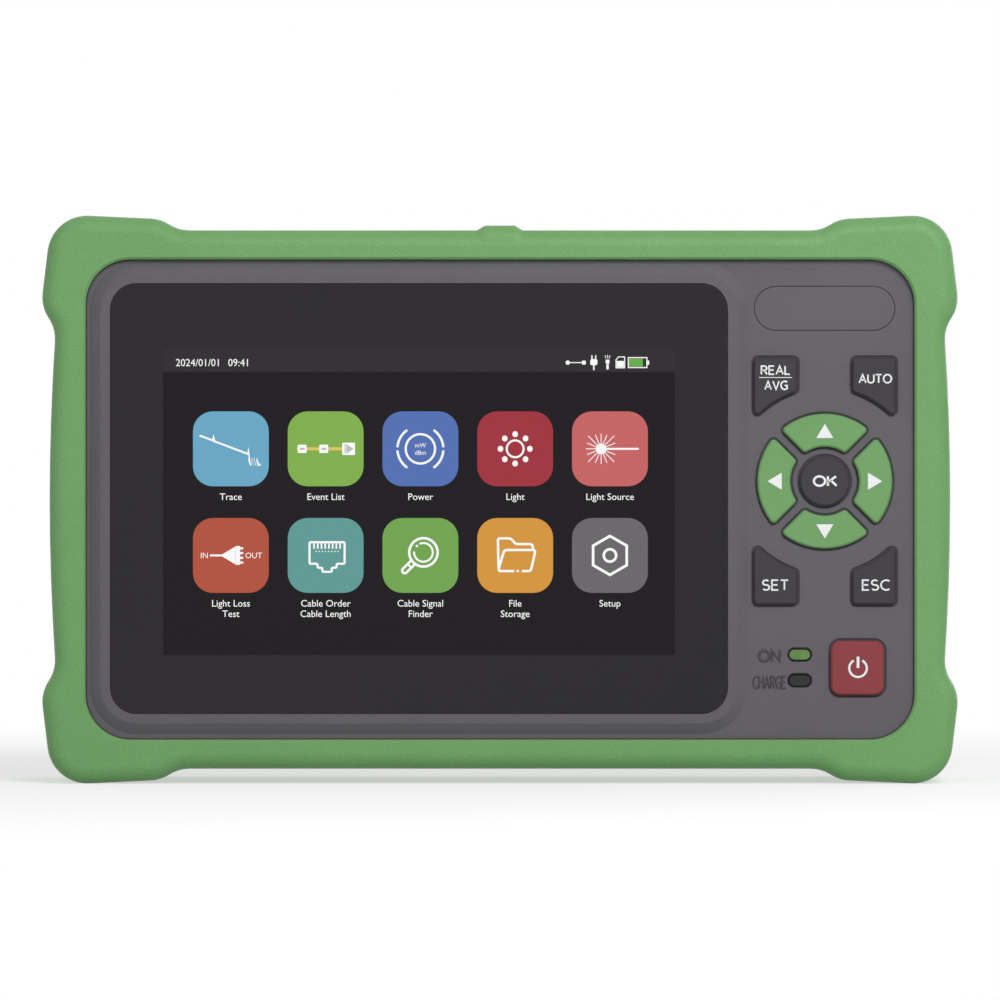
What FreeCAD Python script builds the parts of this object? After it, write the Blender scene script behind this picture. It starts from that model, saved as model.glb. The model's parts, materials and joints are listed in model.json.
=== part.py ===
"""Handheld optical time domain reflectometer, built as separate named sub-parts.

The instrument stands upright on its bottom edge with the screen facing -Y, +X to the
right and +Z up. The origin is in the middle of the footprint, on the floor.
"""
import FreeCAD
import Part
import Sketcher
import math
import os
import re

V = FreeCAD.Vector

# ---------------------------------------------------------------------------
# Sizes, all in millimetres
# ---------------------------------------------------------------------------
SIZES = {
    # rubber bumper
    "bumper_width": (193.4, "bumper, over the widest part of the corner pads"),
    "bumper_height": (120.0, "bumper, floor to the top of the corner pads"),
    "bumper_depth": (46.0, "bumper, front face to rear face"),
    "edge_dip": (3.1, "top and bottom edges, below the corner pads"),
    "edge_inset": (31.1, "side of the bumper to the end of the straight top edge"),
    "pad_start": (22.9, "side of the bumper to where the corner pad starts"),
    "pad_slope": (0.6, "rise of the pad between its start and its corner"),
    "crown_inset": (9.8, "side of the pad to where its corner curve starts"),
    "pad_corner": (8.4, "radius of the corner curve"),
    "flare_drop": (16.3, "top of the pad down to its widest point"),
    "waist_drop": (26.6, "top of the pad down to the waist beside it"),
    "waist_dip": (2.6, "waist, in from the widest point"),
    "side_dip": (1.5, "middle of the side, in from the widest point"),
    "edge_round": (3.4, "rounding of the front and rear edges"),
    "side_wall": (7.2, "widest point of the bumper to the side of the case"),
    "top_wall": (7.3, "top of the corner pads to the top of the case"),
    "window_lip": (2.0, "bumper over the edge of the case, at the front"),
    "window_radius": (9.5, "corner of the front window"),
    "window_bevel": (0.5, "bevel of the front window's edge"),
    "rear_lip": (3.6, "bumper over the edge of the case, at the rear"),
    "rear_window_radius": (8.0, "corner of the rear window"),
    "seat_gap": (0.05, "all round between bumper and case"),
    # case shells
    "case_radius": (11.0, "outer corner of the case"),
    "wall": (2.2, "side walls of the case"),
    "panel_recess": (1.8, "front panel, below the bumper's front face"),
    "front_wall": (2.2, "thickness of the front panel"),
    "rear_recess": (4.0, "rear wall, below the bumper's rear face"),
    "rear_wall": (2.6, "thickness of the rear wall"),
    "split": (15.0, "joint between the shells, behind the bumper's front face"),
    "gasket_thickness": (0.8, "gasket between the shells"),
    # screen
    "lens_margin": (7.2, "side of the case to the lens"),
    "lens_lift": (0.2, "middle of the lens above mid height"),
    "keypad_strip": (41.4, "lens to the other side of the case"),
    "lens_ends": (14.5, "height of the case beyond the lens, both ends together"),
    "lens_radius": (5.6, "corner of the lens"),
    "lens_thickness": (1.4, "lens"),
    "lens_drop": (0.1, "lens, below the bezel rim"),
    "lens_gap": (0.05, "all round between lens and bezel"),
    "bezel_rise": (1.0, "bezel rim above the panel"),
    "bezel_rim": (2.0, "flat rim round the lens"),
    "bezel_slope": (2.3, "width of the slope outside the rim"),
    "display_side": (5.5, "sides of the display module to the lit area"),
    "display_end": (4.6, "ends of the display module to the lit area"),
    "display_lift": (-0.5, "middle of the lit area above mid height"),
    "display_edge": (0.8, "display glass beyond the lit area"),
    "display_gap": (0.2, "all round between display glass and its opening"),
    "module_side": (5.7, "sides of the lens to the display module"),
    "module_end": (8.45, "ends of the lens to the display module"),
    "module_thickness": (4.0, "display module"),
    "bracket_thickness": (0.8, "steel frame behind the display module"),
    "bracket_side": (4.5, "display bracket screws, outside the display module"),
    "bracket_end": (7.0, "display bracket screws, in from the ends of the display module"),
    # keys
    "pad_inset": (20.95, "side of the case to the middle of the arrow pad"),
    "pad_lift": (3.87, "middle of the arrow pad above mid height"),
    "arrow_outer": (14.2, "outer radius of the arrow keys"),
    "arrow_inner": (7.3, "inner radius of the arrow keys"),
    "arrow_gap": (2.4, "between two arrow keys"),
    "ok_radius": (5.25, "round middle key"),
    "soft_outer": (14.95, "outer side of the four soft keys, from the middle"),
    "soft_inner": (5.85, "inner side of the four soft keys, from the middle"),
    "soft_top": (26.0, "straight end of the soft keys, from the middle"),
    "soft_curve": (19.8, "radius of the curved end of the soft keys"),
    "key_corner": (0.8, "corners of the keys"),
    "key_edge": (0.35, "bevel of the key tops"),
    "key_rise": (1.2, "key tops above the panel"),
    "mouth_bevel": (0.25, "bevel of the panel round keys and lamps"),
    "key_gap": (0.34, "all round between key and panel"),
    "key_flange": (0.7, "flange of a key, beyond its sides"),
    "key_flange_thickness": (0.8, "flange of a key"),
    "key_slack": (0.05, "between flange and panel at rest"),
    "power_right": (6.9, "power key, right of the arrow pad's middle"),
    "power_drop": (39.42, "power key, below the arrow pad's middle"),
    "power_width": (11.2, "power key"),
    "power_height": (11.4, "power key"),
    "power_radius": (2.0, "corner of the power key"),
    "lamp_left": (5.25, "indicator windows, left of the arrow pad's middle"),
    "on_drop": (36.62, "upper indicator window, below the arrow pad's middle"),
    "lamp_pitch": (5.45, "between the two indicator windows"),
    "lamp_width": (4.9, "indicator window"),
    "lamp_height": (2.65, "indicator window"),
    "lamp_gap": (0.05, "all round between indicator and panel"),
    "oval_drop": (12.33, "middle of the engraved oval below the top of the case"),
    "oval_width": (30.0, "engraved oval"),
    "oval_height": (9.6, "engraved oval"),
    "engraving": (0.3, "width and depth of the engraved line"),
    # keypad behind the panel
    "mat_drop": (1.7, "front of the keypad mat, behind the panel's inside"),
    "mat_thickness": (1.5, "keypad mat"),
    "keypad_width": (34.8, "keypad mat and board"),
    "keypad_drop": (47.3, "lower edge of the keypad board, below the arrow pad's middle"),
    "keypad_rise": (33.9, "upper edge of the keypad board, above the arrow pad's middle"),
    "keypad_screw_x": (13.4, "keypad screws, each side of the middle"),
    "keypad_screw_edge": (3.0, "keypad screws, from the ends of the board"),
    "board_thickness": (1.6, "circuit boards"),
    "dome_diameter": (6.4, "snap dome"),
    "dome_height": (0.4, "snap dome"),
    # fixings
    "boss_diameter": (5.0, "small bosses"),
    "small_shank": (2.0, "small screws"),
    "small_head": (3.8, "small screws"),
    "small_head_height": (1.3, "small screws"),
    "case_screw_side": (8.0, "case screws, in from the sides of the case"),
    "case_screw_end": (10.7, "outer case screws, in from the top and bottom of the case"),
    "case_shank": (3.0, "case screws"),
    "case_head": (5.5, "case screws"),
    "case_head_height": (2.0, "case screws"),
    "case_head_drop": (0.5, "case screw heads, below the rear wall"),
    "case_screw_grip": (3.2, "case screws, into the front shell's bosses"),
    "case_boss": (8.0, "bosses of the case screws"),
    "front_boss_length": (3.8, "case screw bosses of the front shell"),
    "screw_gap": (0.05, "all round between screws and their holes"),
    # connector bay at the top
    "bay_width": (92.0, "connector bay"),
    "bay_depth": (18.0, "connector bay, front to rear"),
    "bay_ahead": (15.0, "middle of the bay, ahead of the rear wall"),
    "bay_drop": (13.8, "floor of the bay, below the top of the case"),
    "bay_wall": (1.8, "walls and floor of the bay"),
    "trace_port_x": (-33.0, "trace port"),
    "meter_port_x": (-11.0, "power meter port"),
    "light_port_x": (9.0, "visible light port"),
    "data_port_x": (31.0, "network socket"),
    "port_flange": (13.0, "square flange of the trace port"),
    "port_flange_thickness": (1.8, "flanges of the ports"),
    "port_barrel": (8.0, "threaded barrel of the trace port"),
    "port_barrel_height": (9.0, "threaded barrel of the trace port"),
    "port_tail": (6.8, "rear of the ports"),
    "port_tail_length": (9.0, "rear of the ports, below the bay floor"),
    "ferrule": (2.5, "connector ferrule taken by the ports"),
    "ferrule_play": (0.02, "all round between ferrule and its sleeve"),
    "sleeve_diameter": (3.2, "alignment sleeve"),
    "meter_barrel": (11.0, "power meter port"),
    "meter_barrel_height": (6.5, "power meter port"),
    "light_barrel": (9.0, "visible light port"),
    "light_barrel_height": (7.5, "visible light port"),
    "jack_width": (16.0, "network socket"),
    "jack_room": (4.0, "between the network socket and the rear wall"),
    "jack_height": (21.0, "network socket"),
    "jack_rise": (2.5, "network socket above the bay floor"),
    "jack_mouth_width": (11.9, "mouth of the network socket"),
    "jack_mouth_depth": (7.4, "mouth of the network socket"),
    "jack_mouth_length": (13.0, "mouth of the network socket"),
    # bay door
    "door_width": (105.2, "bay door"),
    "door_reach": (15.9, "front edge of the door, ahead of the middle of the bay"),
    "door_thickness": (2.4, "bay door"),
    "door_drop": (0.1, "bay door, below the top edge of the bumper"),
    "door_gap": (0.35, "all round between door and bumper"),
    "door_pin_behind": (12.4, "door pin, behind the middle of the bay"),
    "door_barrel": (3.0, "barrel of the door"),
    "door_swing_room": (3.2, "clear space behind the door pin"),
    "pin_diameter": (1.6, "all hinge pins"),
    "pin_play": (0.05, "all round between a pin and the piece that turns on it"),
    "tab_width": (10.5, "finger tab of the door, at its foot"),
    "tab_top": (5.8, "finger tab of the door, at its top"),
    "tab_height": (1.2, "finger tab of the door"),
    "tab_length": (6.0, "finger tab of the door, front to rear"),
    "seal_gap": (0.6, "all round between the door seal and the bay"),
    "seal_width": (1.8, "door seal"),
    "seal_height": (2.0, "door seal"),
    # side flap
    "flap_height": (43.0, "side flap"),
    "flap_reach": (11.6, "front edge of the flap, ahead of the middle of the sockets"),
    "flap_thickness": (2.4, "side flap"),
    "flap_drop": (0.7, "side flap, in from the middle of the bumper's side"),
    "flap_pin_behind": (10.6, "flap pin, behind the middle of the sockets"),
    "side_bay_height": (38.0, "side opening"),
    "side_bay_depth": (14.0, "side opening, front to rear"),
    "side_bay_ahead": (1.0, "middle of the side opening, ahead of the sockets"),
    "supply_drop": (11.0, "supply socket, below mid height"),
    "supply_size": (11.0, "supply socket, front to rear and in height"),
    "supply_length": (14.0, "supply socket"),
    "supply_bore": (6.4, "mouth of the supply socket"),
    "supply_bore_depth": (9.5, "mouth of the supply socket"),
    "supply_pin": (2.0, "centre pin of the supply socket"),
    "bus_lift": (11.2, "data socket, above mid height"),
    "bus_width": (13.2, "data socket, in height"),
    "bus_thickness": (6.0, "data socket, front to rear"),
    "bus_length": (14.0, "data socket"),
    "bus_shell": (0.5, "shell of the data socket"),
    "bus_tongue": (1.8, "tongue of the data socket"),
    "socket_gap": (0.1, "all round between sockets and case"),
    # rear
    "battery_lift": (10.7, "battery bay above the bottom of the case"),
    "battery_room": (65.4, "height of the case beyond the battery bay"),
    "battery_side": (33.5, "battery bay, in from the sides of the case"),
    "battery_wall": (1.6, "walls of the battery bay"),
    "battery_gap": (0.5, "all round between battery and bay"),
    "cover_side": (7.0, "battery cover beyond the sides of the bay"),
    "cover_end": (4.0, "battery cover beyond the ends of the bay"),
    "cover_radius": (4.0, "corner of the battery cover"),
    "cover_thickness": (1.4, "battery cover"),
    "cover_gap": (0.15, "all round between cover and case"),
    "cover_screw_out": (3.5, "cover screws, outside the sides of the bay"),
    "stand_inset": (14.5, "kickstand, in from the sides of the case"),
    "stand_bar": (9.0, "arms and foot of the kickstand"),
    "stand_lift": (7.3, "lower edge of the kickstand above the bottom of the case"),
    "stand_thickness": (3.0, "kickstand"),
    "stand_gap": (0.3, "kickstand to rear wall and lugs"),
    "stand_pin_drop": (13.1, "kickstand pins, below the top of the case"),
    "stand_barrel": (3.2, "barrels of the kickstand"),
    "stand_corner": (7.0, "lower corners of the kickstand"),
    "lug_width": (2.8, "lugs of the kickstand"),
    "foot_inset": (27.0, "rubber foot, in from the sides of the kickstand"),
    "foot_height": (2.2, "rubber foot of the kickstand"),
    "speaker_drop": (32.7, "middle of the speaker, below the top of the case"),
    "speaker_diameter": (27.0, "speaker"),
    "speaker_thickness": (4.5, "speaker"),
    "grille_pitch": (3.2, "slots of the grille"),
    "grille_slot": (1.5, "slots of the grille"),
    "grille_width": (22.0, "slots of the grille"),
    # circuit board and optics inside
    "main_inset": (16.5, "main board, in from the sides of the case"),
    "main_lift": (7.7, "lower edge of the main board above the bottom of the case"),
    "main_drop": (17.7, "upper edge of the main board, below the top of the case"),
    "main_behind": (3.2, "rear face of the main board, behind the rear shell's front edge"),
    "column_edge": (5.0, "main board columns, in from the edges of the board"),
    "column_pitch": (24.0, "between the upper and lower columns"),
    "optics_width": (42.0, "optical module"),
    "optics_height": (24.0, "optical module"),
    "optics_depth": (15.0, "optical module"),
    "laser_diameter": (8.0, "visible light source"),
    "laser_length": (20.0, "visible light source"),
}

# ---------------------------------------------------------------------------
# Words that follow from the sizes, used as sizes are
# ---------------------------------------------------------------------------
FOLLOWS = {
    "case_side": "bumper_width/2 - side_wall",
    "case_half": "bumper_height/2 - top_wall",
    "case_width": "2*case_side",
    "case_height": "2*case_half",
    "case_top": "bumper_height/2 + case_half",
    "case_bottom": "bumper_height/2 - case_half",
    "window_width": "case_width - 2*window_lip",
    "window_height": "case_height - 2*window_lip",
    "rear_window_width": "case_width - 2*rear_lip",
    "rear_window_height": "case_height - 2*rear_lip",
    "lens_width": "case_width - lens_margin - keypad_strip",
    "lens_height": "case_height - lens_ends",
    "module_width": "lens_width - 2*module_side",
    "module_height": "lens_height - 2*module_end",
    "display_width": "module_width - 2*display_side",
    "display_height": "module_height - 2*display_end",
    "bracket_reach": "module_width/2 + bracket_side",
    "bracket_rise": "module_height/2 - bracket_end",
    "screen_x": "lens_margin + lens_width/2 - case_side",
    "screen_z": "bumper_height/2 + lens_lift",
    "display_z": "bumper_height/2 + display_lift",
    "pad_x": "case_side - pad_inset",
    "pad_z": "bumper_height/2 + pad_lift",
    "power_x": "pad_x + power_right",
    "power_z": "pad_z - power_drop",
    "lamp_x": "pad_x - lamp_left",
    "on_z": "pad_z - on_drop",
    "charge_z": "on_z - lamp_pitch",
    "oval_z": "case_top - oval_drop",
    "keypad_bottom": "pad_z - keypad_drop",
    "keypad_top": "pad_z + keypad_rise",
    "case_screw_x": "case_side - case_screw_side",
    "case_screw_rise": "case_half - case_screw_end",
    "bay_y": "bumper_depth/2 - rear_recess - bay_ahead",
    "door_front": "bay_y - door_reach",
    "door_pin_y": "bay_y + door_pin_behind",
    "flap_z": "bumper_height/2",
    "flap_front": "bay_y - flap_reach",
    "flap_pin_y": "bay_y + flap_pin_behind",
    "side_bay_y": "bay_y - side_bay_ahead",
    "supply_z": "bumper_height/2 - supply_drop",
    "bus_z": "bumper_height/2 + bus_lift",
    "battery_width": "case_width - 2*battery_side",
    "battery_height": "case_height - battery_room",
    "battery_z": "case_bottom + battery_lift + battery_height/2",
    "cover_width": "battery_width + 2*cover_side",
    "cover_height": "battery_height + 2*cover_end",
    "cover_screw_x": "battery_width/2 + cover_screw_out",
    "stand_width": "case_width - 2*stand_inset",
    "foot_width": "stand_width - 2*foot_inset",
    "stand_bottom": "case_bottom + stand_lift",
    "stand_pin_z": "case_top - stand_pin_drop",
    "speaker_z": "case_top - speaker_drop",
    "main_width": "case_width - 2*main_inset",
    "main_bottom": "case_bottom + main_lift",
    "main_top": "case_top - main_drop",
    "main_y": "split + gasket_thickness/2 + main_behind - bumper_depth/2",
    "jack_depth": "bumper_depth/2 - rear_recess - rear_wall - main_y - jack_room",
    "column_x": "main_width/2 - column_edge",
    "column_high": "main_top - column_edge",
    "column_low": "column_high - column_pitch",
}

# ---------------------------------------------------------------------------
# Levels that follow from the sizes
# ---------------------------------------------------------------------------
MIDDLE = "bumper_height/2"
FRONT = "(0 - bumper_depth/2)"
BACK = "(bumper_depth/2)"
PANEL = f"({FRONT} + panel_recess)"
INSIDE = f"({PANEL} + front_wall)"
RIM = f"({PANEL} - bezel_rise)"
LENS_FRONT = f"({RIM} + lens_drop)"
LENS_SEAT = f"({LENS_FRONT} + lens_thickness)"
REAR = f"({BACK} - rear_recess)"
REAR_INSIDE = f"({REAR} - rear_wall)"
FRONT_SHELL_END = f"({FRONT} + split - gasket_thickness/2)"
REAR_SHELL_START = f"({FRONT} + split + gasket_thickness/2)"
KEY_TOP = f"({PANEL} - key_rise)"
FLANGE_FRONT = f"({INSIDE} + key_slack)"
MAT_FRONT = f"({INSIDE} + mat_drop)"
KEYPAD_FACE = f"({MAT_FRONT} + mat_thickness)"
KEYPAD_REAR = f"({KEYPAD_FACE} + board_thickness)"
MODULE_REAR = f"({INSIDE} + module_thickness)"
BRACKET_REAR = f"({MODULE_REAR} + bracket_thickness)"
EDGE_TOP = "(bumper_height - edge_dip)"
BAY_FLOOR = f"(case_top - bay_drop)"
BAY_UNDER = f"({BAY_FLOOR} - bay_wall)"
DOOR_TOP = f"({EDGE_TOP} - door_drop)"
DOOR_UNDER = f"({DOOR_TOP} - door_thickness)"
DOOR_PIN_Z = f"({DOOR_TOP} - door_barrel/2)"
BUMPER_SIDE = "(bumper_width/2 - side_dip)"
FLAP_FACE = f"({BUMPER_SIDE} - flap_drop)"
FLAP_INSIDE = f"({FLAP_FACE} - flap_thickness)"
FLAP_PIN_X = f"({FLAP_FACE} - door_barrel/2)"
STAND_INSIDE = f"({REAR} + stand_gap)"
STAND_PIN_Y = f"({STAND_INSIDE} + stand_barrel/2)"
STAND_ARM_X = "(stand_width/2 - stand_bar/2)"
MAIN_FRONT = "(main_y - board_thickness)"
TAIL_END = f"({BAY_UNDER} - port_tail_length)"

os.makedirs("parts", exist_ok=True)
doc = FreeCAD.newDocument("Reflectometer")
sheet = doc.addObject("Spreadsheet::Sheet", "Sizes")
for row, (word, (size, meaning)) in enumerate(SIZES.items(), start=1):
    sheet.set(f"A{row}", word)
    sheet.set(f"B{row}", str(size))
    sheet.set(f"C{row}", meaning)
    sheet.setAlias(f"B{row}", word)
doc.recompute()


def bound(expression):
    """The expression with every word worked back to sizes read from the sheet."""
    def cell(word):
        name = word.group()
        if name in FOLLOWS:
            return f"({bound(FOLLOWS[name])})"
        return "Sizes." + name if name in SIZES else name
    return re.sub(r"[a-z_]+", cell, str(expression))


def number(expression):
    """What the expression comes to now."""
    return float(sheet.evalExpression(bound(expression)))


# ---------------------------------------------------------------------------
# Outlines: a sketch knows the axis it faces, its two own axes are the other two
# ---------------------------------------------------------------------------
PLANES = {"x": "YZ_Plane", "y": "XZ_Plane", "z": "XY_Plane"}


def datum(sketch, kind, where, expression):
    """One dimension of a sketch, bound to its expression."""
    row = sketch.addConstraint(Sketcher.Constraint(kind, *where, number(expression)))
    sketch.setExpression(f"Constraints[{row}]", bound(expression))


def pin_point(sketch, curve, end, across=None, up=None):
    """Hold one point of a curve at a distance from the sketch's origin."""
    if across is not None:
        datum(sketch, "DistanceX", (-1, 1, curve, end), across)
    if up is not None:
        datum(sketch, "DistanceY", (-1, 1, curve, end), up)


def line(sketch, start, end):
    """A straight piece between two points given as expressions."""
    ends = [V(number(across), number(up), 0) for across, up in (start, end)]
    return sketch.addGeometry(Part.LineSegment(*ends), False)


def join(sketch, first, second, kind="Coincident", ends=(2, 1)):
    """Make one curve carry on from another."""
    sketch.addConstraint(Sketcher.Constraint(kind, first, ends[0], second, ends[1]))


def circle(sketch, across, up, diameter):
    """A full circle."""
    middle = V(number(across), number(up), 0)
    ring = Part.Circle(middle, V(0, 0, 1), number(diameter) / 2)
    curve = sketch.addGeometry(ring, False)
    pin_point(sketch, curve, 3, across, up)
    datum(sketch, "Diameter", (curve,), diameter)


def polygon(sketch, points):
    """A closed outline of straight lines."""
    pairs = list(zip(points, points[1:] + points[:1]))
    curves = [line(sketch, start, end) for start, end in pairs]
    for curve, following in zip(curves, curves[1:] + curves[:1]):
        join(sketch, curve, following)
    for curve, (across, up) in zip(curves, points):
        pin_point(sketch, curve, 1, across, up)


def rectangle(sketch, across, up, width, height):
    """A sharp rectangle round a middle point."""
    left, right = f"{across} - ({width})/2", f"{across} + ({width})/2"
    low, high = f"{up} - ({height})/2", f"{up} + ({height})/2"
    polygon(sketch, [(left, low), (right, low), (right, high), (left, high)])


def arc(sketch, across, up, radius, start, end):
    """An arc from one direction to another, in degrees, anticlockwise."""
    ring = Part.Circle(V(number(across), number(up), 0), V(0, 0, 1), number(radius))
    piece = Part.ArcOfCircle(ring, math.radians(start), math.radians(end))
    return sketch.addGeometry(piece, False)


def rounded(sketch, across, up, width, height, radius):
    """A rectangle with round corners."""
    left, right = f"{across} - ({width})/2", f"{across} + ({width})/2"
    low, high = f"{up} - ({height})/2", f"{up} + ({height})/2"
    near, far = f"{left} + {radius}", f"{right} - {radius}"
    under, over = f"{low} + {radius}", f"{high} - {radius}"
    sides = [
        line(sketch, (near, low), (far, low)),
        line(sketch, (right, under), (right, over)),
        line(sketch, (far, high), (near, high)),
        line(sketch, (left, over), (left, under)),
    ]
    corners = [
        arc(sketch, far, under, radius, 270, 360),
        arc(sketch, far, over, radius, 0, 90),
        arc(sketch, near, over, radius, 90, 180),
        arc(sketch, near, under, radius, 180, 270),
    ]
    for side, corner, following in zip(sides, corners, sides[1:] + sides[:1]):
        join(sketch, side, corner, "Tangent")
        join(sketch, corner, following, "Tangent")
        datum(sketch, "Radius", (corner,), radius)
    for side, kind in zip(sides, ("Horizontal", "Vertical") * 2):
        sketch.addConstraint(Sketcher.Constraint(kind, side))
    pin_point(sketch, sides[0], 1, up=low)
    pin_point(sketch, sides[1], 1, across=right)
    pin_point(sketch, sides[2], 1, up=high)
    pin_point(sketch, sides[3], 1, across=left)


def stadium(sketch, across, up, width, height):
    """A level oval with straight sides and round ends."""
    left = f"{across} - ({width})/2 + ({height})/2"
    right = f"{across} + ({width})/2 - ({height})/2"
    low, high = f"{up} - ({height})/2", f"{up} + ({height})/2"
    curves = [
        line(sketch, (left, low), (right, low)),
        arc(sketch, right, up, f"({height})/2", -90, 90),
        line(sketch, (right, high), (left, high)),
        arc(sketch, left, up, f"({height})/2", 90, 270),
    ]
    for curve, following in zip(curves, curves[1:] + curves[:1]):
        join(sketch, curve, following, "Tangent")
    for side in (curves[0], curves[2]):
        sketch.addConstraint(Sketcher.Constraint("Horizontal", side))
    pin_point(sketch, curves[3], 3, left, up)
    pin_point(sketch, curves[1], 3, across=right)
    datum(sketch, "Radius", (curves[1],), f"({height})/2")


# ---------------------------------------------------------------------------
# Bodies
# ---------------------------------------------------------------------------
class Piece:
    """One sub-part: a body that takes pads, cuts and roundings in turn."""

    made = []

    def __init__(self, label):
        self.label = label
        self.body = doc.addObject("PartDesign::Body", label)
        self.body.Label = label
        self.body.AllowCompound = True
        self.steps = 0
        Piece.made.append(self)

    def name(self, kind):
        """A new name for the next feature."""
        self.steps += 1
        return f"{self.label}_{kind}_{self.steps}"

    def place(self, x="0", y="0", z="0"):
        """Put the body's own origin at a point of the shared frame."""
        for letter, expression in zip("xyz", (x, y, z)):
            self.body.setExpression(f"Placement.Base.{letter}", bound(expression))
        return self

    def sketch(self, axis, at):
        """An empty sketch facing the axis, at a height along it."""
        sketch = self.body.newObject("Sketcher::SketchObject", self.name("outline"))
        features = self.body.Origin.OriginFeatures
        plane = next(f for f in features if f.Role == PLANES[axis])
        sketch.AttachmentSupport = [(plane, "")]
        sketch.MapMode = "FlatFace"
        height = f"0 - ({at})" if axis == "y" else at
        sketch.setExpression("AttachmentOffset.Base.z", bound(height))
        return sketch

    def extrude(self, kind, axis, at, to, draw, shapes):
        """Draw the shapes and carry them along the axis to another height."""
        sketch = self.sketch(axis, at)
        for shape in shapes:
            draw(sketch, *shape)
        feature = self.body.newObject(kind, self.name(kind.split("::")[1].lower()))
        feature.Profile = sketch
        forward = number(to) > number(at)
        length = f"({to}) - ({at})" if forward else f"({at}) - ({to})"
        feature.setExpression("Length", bound(length))
        mirrored = (axis == "y") != (kind == "PartDesign::Pocket")
        feature.Reversed = forward == mirrored
        return feature

    def add(self, axis, at, to, draw, *shapes):
        """Add material between two heights."""
        return self.extrude("PartDesign::Pad", axis, at, to, draw, shapes)

    def cut(self, axis, at, to, draw, *shapes):
        """Take material away between two heights."""
        return self.extrude("PartDesign::Pocket", axis, at, to, draw, shapes)

    def edges(self, wanted):
        """Names of the edges the test picks on the body so far."""
        doc.recompute()
        edges = enumerate(self.body.Tip.Shape.Edges, start=1)
        return [f"Edge{place}" for place, edge in edges if wanted(edge)]

    def soften(self, radius, wanted):
        """Round the edges the test picks."""
        names = self.edges(wanted)
        tip = self.body.Tip
        fillet = self.body.newObject("PartDesign::Fillet", self.name("fillet"))
        fillet.Base = (tip, names)
        fillet.setExpression("Radius", bound(radius))

    def bevel(self, size, wanted):
        """Cut the edges the test picks at a slant."""
        names = self.edges(wanted)
        tip = self.body.Tip
        chamfer = self.body.newObject("PartDesign::Chamfer", self.name("chamfer"))
        chamfer.Base = (tip, names)
        chamfer.setExpression("Size", bound(size))


def level(axis, at):
    """A test for edges that lie wholly in one plane."""
    height = number(at)
    letter = axis.upper()

    def wanted(edge):
        ends = [getattr(corner, letter) for corner in edge.Vertexes]
        ends.append(getattr(edge.CenterOfMass, axis))
        return all(abs(end - height) < 1e-4 for end in ends)
    return wanted


def upright(axis, corners=None, reach=0.05):
    """A test for edges along the axis, at given places or anywhere."""
    others = [letter for letter in "xyz" if letter != axis]

    def wanted(edge):
        if len(edge.Vertexes) != 2 or not isinstance(edge.Curve, (Part.Line, Part.LineSegment)):
            return False
        first, last = (corner.Point for corner in edge.Vertexes)
        if any(abs(getattr(first, o) - getattr(last, o)) > 1e-4 for o in others):
            return False
        if corners is None:
            return True
        spot = [getattr(first, letter) for letter in others]
        return any(math.dist(spot, corner) < reach for corner in corners)
    return wanted


def both(*tests):
    """All the tests at once."""
    return lambda edge: all(test(edge) for test in tests)


def within(low, high):
    """A test for edges whose middle lies in a box."""
    box = [[number(value) for value in corner] for corner in (low, high)]

    def wanted(edge):
        middle = edge.CenterOfMass
        return all(a < m < b for a, m, b in zip(box[0], middle, box[1]))
    return wanted


# ---------------------------------------------------------------------------
# Bumper
# ---------------------------------------------------------------------------
def end_at(sketch, curve, spot):
    """Which end of a curve lies at a point."""
    return min((1, 2), key=lambda end: (sketch.getPoint(curve, end) - spot).Length)


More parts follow.
